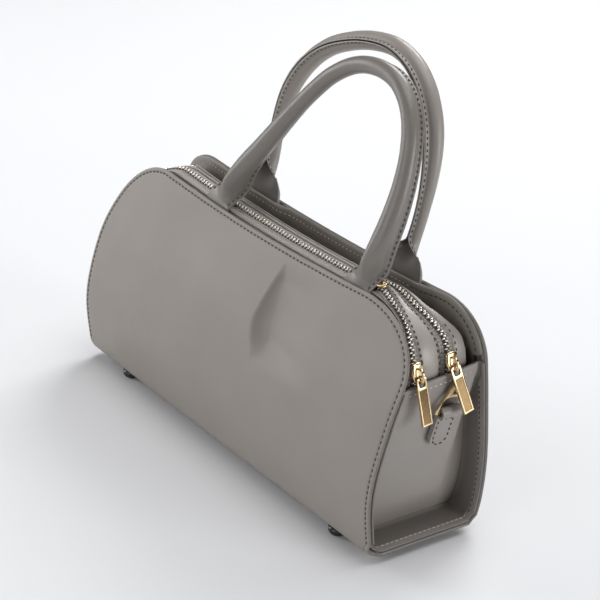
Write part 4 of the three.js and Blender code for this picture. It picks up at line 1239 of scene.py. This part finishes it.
def zip_teeth(name, start, stop, sunk):
    """The closed chain: teeth from both tapes that meet over the middle, each with a rounded head."""
    builder = Builder()
    travel = ARCH["travel"]
    chain = chain_line(start, stop)
    width = np.minimum(CHAIN_WIDTH, CHAIN_SHARE * (ARCH[stop] - ARCH[start] - SEAM_GAP))
    low = -ARCH["groove"] if sunk else np.zeros(len(travel))
    count = int(travel[-1] / TOOTH["pitch"])
    for k in range(count):
        for hand in (-1, 1):
            where = (k + 0.5 + hand * TOOTH["stagger"]) * travel[-1] / count
            centre, up, run = (read_at(where, travel, line) for line in (chain, ARCH["normal"], ARCH["run"]))
            reach = np.interp(where, travel, width) / 2
            floor = np.interp(where, travel, low) + TOOTH["foot"]
            head = floor + TOOTH["height"] * min(1.0, reach / TOOTH["full_reach"])
            near, far = -TOOTH["over"] * reach / (CHAIN_WIDTH / 2), reach * TOOTH["tail"]
            levels = ((floor, 1.0, 0.0), (lerp(floor, head, TOOTH["shoulder"]), 1.0, 0.0),
                      (head, TOOTH["head_girth"], TOOTH["head_trim"]))
            corners = []
            for lift, girth, trim in levels:
                for y, half in ((near + trim, 1.0), (far - trim, TOOTH["tail_girth"])):
                    for sign in (-1, 1):
                        across = np.array([0.0, hand * y, 0.0])
                        corners.append(centre + across + up * lift
                                       + run * sign * half * girth * TOOTH["half"])
            builder.add(corners, tooth_faces(hand))
    # A dark strip under the teeth, painted shade between them.
    ground = np.array([strip_point(chain[:, 1] + side * width / 2, low + TOOTH["foot"] + rise)
                       for side, rise in CHAIN_SHADE_STRIP])
    size = ground.shape[1]
    ground_faces = [[a * size + k, (a + 1) * size + k, (a + 1) * size + k + 1, a * size + k + 1]
                    for a in range(len(CHAIN_SHADE_STRIP) - 1) for k in range(size - 1)]
    builder.add(ground.reshape(-1, 3), ground_faces, 1)
    return finished(builder.piece(name, [teeth_metal, shaded_thread]), "bag", "zip")


POCKET = {
    "opens": (124.0, 141.0),
    "depth": (2.0, 34.0),
    "lip": ((0.0, -0.3), (0.2, 0.1), (0.45, 0.25), (0.7, 0.2), (1.0, 0.0)),
    "turn": 0.9,
    "turn_steps": 4,
    "wall_steps": 12,
    "closed_floor": 1.0,
    "floor_shares": (0.35, 0.7, 1.0),
    "floor_gap": 2.6 * SEAM_GAP,
}


def back_border():
    """The leather that folds over the pocket's mouth and down into its front wall and floor."""
    pocket = smoothstep(ARCH["z"], *POCKET["opens"])
    depth = lerp(*POCKET["depth"], pocket)
    start = ARCH["back_zip"] + SEAM_GAP / 2
    end = ARCH["end"]
    radius, steps = POCKET["turn"], POCKET["turn_steps"]
    rows = [strip_point(lerp(start, end - radius, share), lift) for share, lift in POCKET["lip"]]
    for step in range(1, steps + 1):
        turn = step / steps * math.pi / 2
        rows.append(strip_point(end - radius * (1 - math.sin(turn)), -radius * (1 - math.cos(turn))))
    for share in np.linspace(0.0, 1.0, POCKET["wall_steps"] + 1)[1:]:
        rows.append(strip_point(end, -lerp(radius, depth, share)))
    foot = rows[-1]
    facing = facing_y(foot[:, 0], foot[:, 2]) - POCKET["floor_gap"]
    back_y = lerp(end + POCKET["closed_floor"], facing, pocket)
    for share in POCKET["floor_shares"]:
        floor = foot.copy()
        floor[:, 1] = lerp(foot[:, 1], back_y, share)
        rows.append(floor)
    sheet = Sheet().add_grid(np.array(rows).transpose(1, 0, 2), True)
    return leather_piece("back_border", sheet, STRIP_LEATHER, RIMS["border"], [leather, shaded_rim_paint])


# Seams of the top: the two edges it lies between, its inset from the first or back from the last, its lift
BAND_LIFT = 0.65 * BAND_CROWN
TOP_SEAMS = (
    ("zip", "band", 1.5, BAND_LIFT),
    ("zip", "band", -1.5, BAND_LIFT),
    ("back_zip", "end", 2.2, 0.15),
)
SEAM_ROOM = 3.0
LEAST_RUN = 4


def top_stitches():
    """Rows along both edges of the middle band and along the pocket's mouth, where they are wide enough."""
    builder = Builder()
    for start, stop, inset, lift in TOP_SEAMS:
        wide = ARCH[stop] - ARCH[start] > SEAM_ROOM * abs(inset)
        points = strip_point(ARCH[start] + inset if inset > 0 else ARCH[stop] + inset, lift)
        for first, last in runs_of(wide):
            if last - first > LEAST_RUN:
                stitch_row(builder, points[first:last], ARCH["normal"][first:last], SINKS["hem"])
    return sewn_piece(builder, "top_stitches", shaded_thread)


def runs_of(flags):
    """First and one past the last place of each unbroken run of true flags."""
    edges = np.diff(np.concatenate([[0], flags.astype(int), [0]]))
    return list(zip(np.where(edges > 0)[0], np.where(edges < 0)[0]))


# Handles
FIN_STEPS = 4
FIN_SEAM = 2
FIN_SHARE = 0.14
ROLL_STEPS = 30


def handle_section(strap_half):
    """A handle's leather strip, outside then inside: rolled up with its two edges sewn, and laid flat."""
    radius, reach, half = HANDLE["radius"], HANDLE["fin_reach"], HANDLE["fin_half"]
    root = math.asin((half + HANDLE["root_gap"]) / radius)
    turns = np.linspace(root, 2 * math.pi - root, ROLL_STEPS + 1)
    fin = np.linspace(0.0, 1.0, FIN_STEPS + 1)[:-1]

    def line(layer):
        tube = radius - layer
        edge = half - layer * HANDLE["inner_edge"]
        foot = min(tube * math.sin(root), half - HANDLE["inner_root"] * layer)
        first = [(lerp(edge, foot, share), lerp(reach, tube * math.cos(root), share)) for share in fin]
        arc = [(tube * math.sin(turn), tube * math.cos(turn)) for turn in turns]
        last = [(-across, out) for across, out in reversed(first)]
        return np.array(first + arc + last)

    shares = np.concatenate([FIN_SHARE * fin, np.linspace(FIN_SHARE, 1 - FIN_SHARE, ROLL_STEPS + 1),
                             1 - FIN_SHARE * fin[::-1]])
    across = strap_half * (1 - 2 * shares)
    thick = HANDLE["strap_thick"] / 2
    flat = [np.stack([across, np.full(len(across), side * thick)], axis=1) for side in (-1, 1)]
    return line(0.0), line(HANDLE_LEATHER), *flat


def catmull_rom(points, steps=60):
    """A centripetal curve through points, as a dense line."""
    points = np.asarray(points, float)
    points = np.concatenate([[2 * points[0] - points[1]], points, [2 * points[-1] - points[-2]]])
    line = []
    for i in range(1, len(points) - 2):
        p0, p1, p2, p3 = points[i - 1:i + 3]
        gap0, gap1, gap2 = (math.sqrt(np.linalg.norm(b - a)) for a, b in ((p0, p1), (p1, p2), (p2, p3)))
        slope1 = gap1 * ((p1 - p0) / gap0 - (p2 - p0) / (gap0 + gap1) + (p2 - p1) / gap1)
        slope2 = gap1 * ((p2 - p1) / gap1 - (p3 - p1) / (gap1 + gap2) + (p3 - p2) / gap2)
        share = np.linspace(0.0, 1.0, steps, endpoint=False)[:, None]
        square, cube = -3 * p1 + 3 * p2 - 2 * slope1 - slope2, 2 * p1 - 2 * p2 + slope1 + slope2
        line.append(p1 + slope1 * share + square * share ** 2 + cube * share ** 3)
    return np.concatenate(line + [points[-2:-1]])


def handle_frames(name):
    """Places along a handle, its two directions there, and how closed, deep and thick its roll is."""
    handle, panel = HANDLES[name], PANELS[name]
    lie = np.array([0.0, panel["facing"] * (WRAP_LEATHER + STRAP_SLOT / 2) * LEAN_ALLOWANCE, 0.0])
    lean = np.array([0.0, math.sin(handle["lean"]), math.cos(handle["lean"])])
    left, right = handle["ends"]
    foot_y, foot_z = handle["foot"]
    points = [panel_point(name, left, panel["height"] - down) - lie for down in (HANDLE["tuck"], 0.0)]
    points += [np.array([x, foot_y, foot_z]) + rise * lean for x, rise in handle["path"]]
    points += [panel_point(name, right, panel["height"] - down) - lie for down in (0.0, HANDLE["tuck"])]
    at = resampled(catmull_rom(points), HANDLE["stations"] + 1)
    run = unit(np.gradient(at, axis=0))
    plane = np.array([0.0, math.cos(handle["lean"]), -math.sin(handle["lean"])])
    out = unit(plane - run * (run @ plane)[:, None])
    above = at[:, 2] - panel["height"]
    closed = smoothstep(above, *handle["opens"])
    deep = smoothstep(above, *handle["flattens"])
    girth = lerp(*handle["girth"], smoothstep(above, *handle["slims"]))
    turn = (closed * lerp(*handle["fin_turn"], smoothstep(at[:, 0], left, right)))[:, None]
    across = np.cross(run, out)
    side = np.cos(turn) * across - np.sin(turn) * out
    fin = np.cos(turn) * out + np.sin(turn) * across
    return at, side, fin, closed, deep, girth


def handle_places(name, rounded, flat):
    """A section's points carried along a handle, as stations by points."""
    at, side, fin, closed, deep, girth = handle_frames(name)
    hand = HANDLES[name]["fin_side"]
    wide = lerp(flat[None, :, 0], girth[:, None] * rounded[None, :, 0], closed[:, None])
    high = lerp(flat[None, :, 1], girth[:, None] * rounded[None, :, 1], deep[:, None])
    return at[:, None] + hand * (wide[..., None] * side[:, None] + high[..., None] * fin[:, None])


def rolled_handle(name):
    outer, inner, flat_outer, flat_inner = handle_section(HANDLES[name]["strap_half"])
    rings = np.concatenate([handle_places(name, outer, flat_outer),
                            handle_places(name, inner, flat_inner)[:, ::-1]], axis=1)
    points, faces = loft(rings)
    # The inside faces take the darker leather as painted shade.
    around = [0] * (len(outer) - 1) + [1] + [2] * (len(outer) - 1) + [1]
    slots = around * (len(rings) - 1) + [0] * (2 * rings.shape[1])
    materials = [handle_shade_and_light_leathers[name], highlit_rim_paint, handle_inside_shade]
    piece = add_object("handle_leather_" + name, points, faces, materials, slots)
    return finished(piece, "bag", "leather", "handle_" + name)


def handle_stitches(name):
    """Two rows through the sewn edges of a handle, from one end to the other."""
    outer, unused, flat_outer, unused = handle_section(HANDLES[name]["strap_half"])
    builder = Builder()
    places = handle_places(name, outer, flat_outer)
    at = handle_frames(name)[0]
    above = at[:, 2] > PANELS[name]["height"] - HANDLE["sewn_below_top"]
    for index, step in ((FIN_SEAM, 1), (len(outer) - 1 - FIN_SEAM, -1)):
        row = places[:, index]
        along = unit(np.gradient(row, axis=0))
        across = places[:, index + step] - places[:, index - step]
        normal = unit(np.cross(across, along)) * step
        stitch_row(builder, row[above], normal[above], SINKS["handle"])
    return sewn_piece(builder, "handle_stitches_" + name, shaded_thread)


# Zip sliders
SLIDER = {
    "body_half": 4.2,
    "nose_half": 2.8,
    "back": -5.0,
    "nose": 6.6,
    "floor": 2.2,
    "roof": 4.9,
    "narrows_from": 0.5,
    "end_power": 6,
    "end_round": 0.4,
    "least_end": 0.12,
    "square_across": 0.6,
    "square_up": 0.55,
    "stations": 21,
    "sides": 24,
}
BAIL = {"middle": 2.1, "half": 0.9, "thick": 0.65}
BAIL_ARCH = ((-3.7, -0.8), (-3.65, 1.0), (-3.2, 2.6), (-2.1, 3.35), (0.0, 3.5),
             (2.1, 3.35), (3.2, 2.6), (3.65, 1.0), (3.7, -0.8))
LOW_ARCH = ((-3.4, -0.6), (-2.9, 0.2), (-1.6, 0.7), (0.0, 0.85), (1.6, 0.7), (2.9, 0.2), (3.4, -0.6))
BAIL_STEPS = 6
RIGHT_END_FROM = 110.0
END_HEIGHTS = {"front": 116.6, "back": 117.5}
MID_SLIDER_ALONG = 0.7794


def end_travel(height):
    """How far along the arch the right end of a zip comes down to a height."""
    falling = ARCH["x"] > RIGHT_END_FROM
    return float(np.interp(-height, -ARCH["z"][falling], ARCH["travel"][falling]))


def squared(value, power):
    """A sine or cosine pushed towards the side of a square."""
    return math.copysign(abs(value) ** power, value)


def slider(node, start, stop, where, arch_line):
    """A slider's shield-shaped body with the arch that holds its tag."""
    travel = ARCH["travel"]
    place = read_at(where, travel, chain_line(start, stop))
    out = unit(read_at(where, travel, ARCH["normal"]))
    run = unit(read_at(where, travel, ARCH["run"]))
    across = np.cross(run, out)

    def spot(a, b, c):
        return place + across * a + run * b + out * c

    builder = Builder()
    turns = np.arange(SLIDER["sides"]) * 2 * math.pi / SLIDER["sides"]
    middle, half = (SLIDER["roof"] + SLIDER["floor"]) / 2, (SLIDER["roof"] - SLIDER["floor"]) / 2
    rings = []
    for share in np.linspace(0.0, 1.0, SLIDER["stations"]):
        length = lerp(SLIDER["back"], SLIDER["nose"], share)
        narrowed = smoothstep(length, SLIDER["narrows_from"], SLIDER["nose"])
        wide = lerp(SLIDER["body_half"], SLIDER["nose_half"], narrowed)
        ends = (1.0 - abs(2 * share - 1.0) ** SLIDER["end_power"]) ** SLIDER["end_round"]
        ends = max(ends, SLIDER["least_end"])
        rings.append([spot(wide * ends * squared(math.cos(t), SLIDER["square_across"]), length,
                           middle + half * ends ** 0.5 * squared(math.sin(t), SLIDER["square_up"]))
                      for t in turns])
    builder.add(*loft(rings))
    line = catmull_rom([(0.0, BAIL["middle"] + b, SLIDER["roof"] + c) for b, c in arch_line], BAIL_STEPS)
    heading = unit(np.gradient(line, axis=0))
    rings = []
    for (unused, b, c), (unused, run_b, run_c) in zip(line, heading):
        rings.append([spot(BAIL["half"] * math.cos(t), b + BAIL["thick"] * math.sin(t) * run_c,
                           c - BAIL["thick"] * math.sin(t) * run_b) for t in turns])
    builder.add(*loft(rings))
    return finished(builder.piece(node + "_body", [gold]), "bag", "gold_metal", node)


# Pieces whose solid already has the right form
ROUNDING = {"tab": 0.45, "ring": 0.55, "tag": 0.22, "segments": 3, "from": math.radians(28)}
SAME_POINT = 1e-6
SAME_FACE = math.radians(1.0)


def smoothed_copy(node, name, body, slot, materials, width, change=None):
    """A copy of a solid with its edges rounded, and changed by a function first where one is given."""
    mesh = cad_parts[node].data.copy()
    mesh.name = name
    mesh.materials.clear()
    for material in materials:
        mesh.materials.append(material)
    shape = bmesh.new()
    shape.from_mesh(mesh)
    bmesh.ops.remove_doubles(shape, verts=shape.verts, dist=SAME_POINT)
    bmesh.ops.dissolve_limit(shape, angle_limit=SAME_FACE, verts=shape.verts, edges=shape.edges)
    if change is not None:
        change(shape)
    shape.to_mesh(mesh)
    shape.free()
    mesh.polygons.foreach_set("use_smooth", np.ones(len(mesh.polygons), bool))
    piece = bpy.data.objects.new(name, mesh)
    bpy.context.scene.collection.objects.link(piece)
    rounding = piece.modifiers.new("rounded_edges", "BEVEL")
    rounding.width = width * MM
    rounding.segments = ROUNDING["segments"]
    rounding.limit_method = "ANGLE"
    rounding.angle_limit = ROUNDING["from"]
    rounding.harden_normals = True
    return finished(piece, body, slot, node)


# Area of a tag's sunk face, in square millimetres
TAG_FIELD = 5.2 * 20.2


def shade_tag(shape):
    """Gives the sunk face of a tag the darker gold, painted shade in its recess."""
    field = min(shape.faces, key=lambda face: abs(face.calc_area() / MM ** 2 - TAG_FIELD))
    field.material_index = 1


def hang_tab(side):
    """A change that hangs a ring's tab more upright and a little wider than its solid."""
    back, unused, out = ring_seat(side)
    bar = (back + out * (TAB["eye"] + TAB["leather"])) * mirror_to(side) + SHIFT
    tilt = Matrix.Rotation(TAB["solid_tilt"] - TAB["tilt"], 4, "X")
    widen = Matrix.Scale(TAB["widen"], 4, Vector((0, 1, 0)))
    place = Matrix.Translation(Vector(bar * MM))

    def change(shape):
        bmesh.ops.transform(shape, matrix=place @ tilt @ widen @ place.inverted(), verts=shape.verts)

    return change


TAB_LIFT = 1.5 * SEAM_GAP
TAB_REACH = {"front": 1.5 * TAB["half"], "back": TAB["half"]}
TAB_STEPS = 13


def ring_seat(side):
    """Where a ring's tab lies on its gusset: its top on the gusset, and its up and out directions."""

    def on_gusset(y, height):
        return np.array([float(gusset_face_x(side, y, height)), RING["y"], height])

    low_z = RING["z"] - TAB["length"]
    low, high = on_gusset(RING["y"], low_z), on_gusset(RING["y"], RING["z"])
    up = unit(high - low)
    out = np.array([up[2], 0.0, -up[0]])
    proud = 0.0
    for share in np.linspace(0.0, 1.0, TAB_STEPS):
        for y in (RING["y"] - TAB_REACH["front"], RING["y"], RING["y"] + TAB_REACH["back"]):
            point = on_gusset(y, low_z + share * TAB["length"])
            proud = max(proud, float((point - low) @ out))
    return high + out * (TAB_LIFT + proud), up, out


TAB_SEAM_POINTS = 200
TAB_TURNS = np.linspace(math.pi, 2 * math.pi, 24)


def tab_stitches(name, side):
    back, up, out = ring_seat(side)
    bar = back + out * (TAB["eye"] + TAB["leather"])
    half, straight = TAB["widen"] * TAB["half"] - TAB["seam_inset"], -TAB["length"] + TAB["half"]
    top = TAB["seam_top"]
    round_end = [(half * math.cos(t), straight + half * math.sin(t)) for t in TAB_TURNS]
    line = [(-half, top)] + round_end + [(half, top), (-half, top)]
    tilt = np.array(Matrix.Rotation(-TAB["tilt"], 3, "X"))
    points = np.array([back + out * 2 * TAB["leather"] + np.array([0.0, a, 0.0]) + up * b for a, b in line])
    points = resampled(((points - bar) @ tilt.T + bar) * mirror_to(side), TAB_SEAM_POINTS)
    normals = np.repeat([(tilt @ out) * mirror_to(side)], TAB_SEAM_POINTS, axis=0)
    builder = Builder()
    stitch_row(builder, points, normals, SINKS["handle"])
    return sewn_piece(builder, "tab_stitches_" + name, shaded_thread)


def stud_foot(node, x, y):
    """A domed stud with a flat where it stands."""
    top = FOOT_HEIGHT - SEAM_GAP
    radius, flat, hub, sides = FOOT["radius"], FOOT["flat"], FOOT["hub"], FOOT["sides"]
    turns = np.linspace(0.0, math.pi / 2, FOOT["rows"])
    dome = [(lerp(flat, radius, math.sin(t)), FOOT["dome"] * top * (1 - math.cos(t))) for t in turns]
    around = np.arange(sides) * 2 * math.pi / sides
    rings = []
    for r, z in [(hub, 0.0)] + dome + [(radius, top), (hub, top)]:
        rings.append(np.stack([x + r * np.cos(around), y + r * np.sin(around), np.full(sides, z)], axis=1))
    points, faces = loft(rings)
    piece = add_object(node.replace("foot", "stud"), points, faces, [dark_metal])
    return finished(piece, "bag", "dark_metal", node)


# All the pieces
outer_wrap()
panel_stitches()
back_facing()
facing_stitches()
leather_strip("front_border", "front", "border", BORDER_CROWN, leather)
leather_strip("middle_band", "zip", "band", BAND_CROWN, band_painted_highlight)
zip_tape("front_zip_tape", "border", "zip", False, "zip_front")
zip_teeth("front_zip_teeth", "border", "zip", False)
zip_tape("back_zip_tape", "band", "back_zip", True, "zip_back")
zip_teeth("back_zip_teeth", "band", "back_zip", True)
back_border()
top_stitches()
for end_name, end_side in (("left", -1), ("right", 1)):
    gusset(end_name, end_side)
    gusset_stitches(end_name, end_side)
    tab_stitches(end_name, end_side)
    smoothed_copy("ring_tab_" + end_name, "tab_leather_" + end_name, "bag", "leather", [leather],
                  ROUNDING["tab"], hang_tab(end_side))
    smoothed_copy("ring_" + end_name, "strap_ring_" + end_name, "bag", "gold_metal", [gold], ROUNDING["ring"])
    for row_name, row_side in (("front", -1), ("back", 1)):
        stud_foot("foot_" + row_name + "_" + end_name, end_side * FOOT["x"], row_side * FOOT["y"])
for handle_name in ("front", "back"):
    rolled_handle(handle_name)
    handle_stitches(handle_name)
    smoothed_copy("pull_" + handle_name, "tag_" + handle_name, handle_name + "_pull", "gold_metal",
                  [gold, shaded_gold], ROUNDING["tag"], shade_tag)
slider("slider_front_end", "border", "zip", end_travel(END_HEIGHTS["front"]), BAIL_ARCH)
slider("slider_back_end", "band", "back_zip", end_travel(END_HEIGHTS["back"]), BAIL_ARCH)
slider("slider_front_mid", "border", "zip", MID_SLIDER_ALONG * ARCH["travel"][-1], LOW_ARCH)


# Floor, light and camera
CAMERA_AZIMUTH = math.radians(49.17)
CAMERA_ELEVATION = math.radians(24.84)
CAMERA_ROLL = math.radians(6.62)
CAMERA_DISTANCE = 1.099
CAMERA_TARGET = Vector((0.00243, 0.009778, 0.0959))
CAMERA_LENS = 109.26
CAMERA_SENSOR = 36.0
CAMERA_CLIP = 0.05


def photo_camera():
    back = Vector((math.sin(CAMERA_AZIMUTH) * math.cos(CAMERA_ELEVATION),
                   -math.cos(CAMERA_AZIMUTH) * math.cos(CAMERA_ELEVATION),
                   math.sin(CAMERA_ELEVATION)))
    right = Vector((math.cos(CAMERA_AZIMUTH), math.sin(CAMERA_AZIMUTH), 0.0))
    up = back.cross(right)
    turned_right = math.cos(CAMERA_ROLL) * right + math.sin(CAMERA_ROLL) * up
    turned_up = -math.sin(CAMERA_ROLL) * right + math.cos(CAMERA_ROLL) * up
    data = bpy.data.cameras.new("photo_camera")
    data.lens = CAMERA_LENS
    data.sensor_width = CAMERA_SENSOR
    data.clip_start = CAMERA_CLIP
    camera = bpy.data.objects.new("photo_camera", data)
    matrix = Matrix((turned_right, turned_up, back)).transposed().to_4x4()
    matrix.translation = CAMERA_TARGET + back * CAMERA_DISTANCE
    camera.matrix_world = matrix
    bpy.context.scene.collection.objects.link(camera)
    bpy.context.scene.camera = camera


SKY = {"colour": (0.97, 0.985, 1.0), "strength": 0.02}
# Each light's name, place, size and power
LIGHTS = (
    ("behind_mid", (0.1, 1.4, 1.6), 1.2, 3.5),
    ("behind_left", (-0.8, 1.4, 1.5), 1.2, 24.0),
    ("overhead", (0.2, 0.2, 2.2), 2.0, 26.5),
    ("left_fill", (-1.4, -0.9, 0.9), 1.2, 6.8),
    ("left_low", (-1.5, -1.0, 0.45), 1.2, 9.8),
    ("front_fill", (0.3, -1.8, 0.7), 1.4, 9.4),
    ("right_back", (1.6, 0.7, 0.4), 1.0, 12.5),
)
LIGHT_AIM = (0.0, 0.0, 0.1)
FLOOR_REACH = 6.0


def area_light(name, place, size, power):
    data = bpy.data.lights.new(name, "AREA")
    data.shape = "DISK"
    data.size = size
    data.energy = power
    light = bpy.data.objects.new(name, data)
    light.location = place
    light.rotation_euler = (Vector(LIGHT_AIM) - Vector(place)).to_track_quat("-Z", "Y").to_euler()
    bpy.context.scene.collection.objects.link(light)


def studio():
    floor_mesh = bpy.data.meshes.new("floor")
    corners = [(x * FLOOR_REACH, y * FLOOR_REACH, 0) for x, y in ((-1, -1), (1, -1), (1, 1), (-1, 1))]
    floor_mesh.from_pydata(corners, [], [(0, 1, 2, 3)])
    floor_mesh.materials.append(floor_material("floor"))
    floor = bpy.data.objects.new("floor", floor_mesh)
    bpy.context.scene.collection.objects.link(floor)
    world = bpy.data.worlds.new("studio")
    world.use_nodes = True
    background = world.node_tree.nodes["Background"]
    background.inputs["Color"].default_value = (*SKY["colour"], 1.0)
    background.inputs["Strength"].default_value = SKY["strength"]
    bpy.context.scene.world = world
    for light in LIGHTS:
        area_light(*light)
    bpy.context.scene.view_settings.view_transform = "Standard"


photo_camera()
studio()
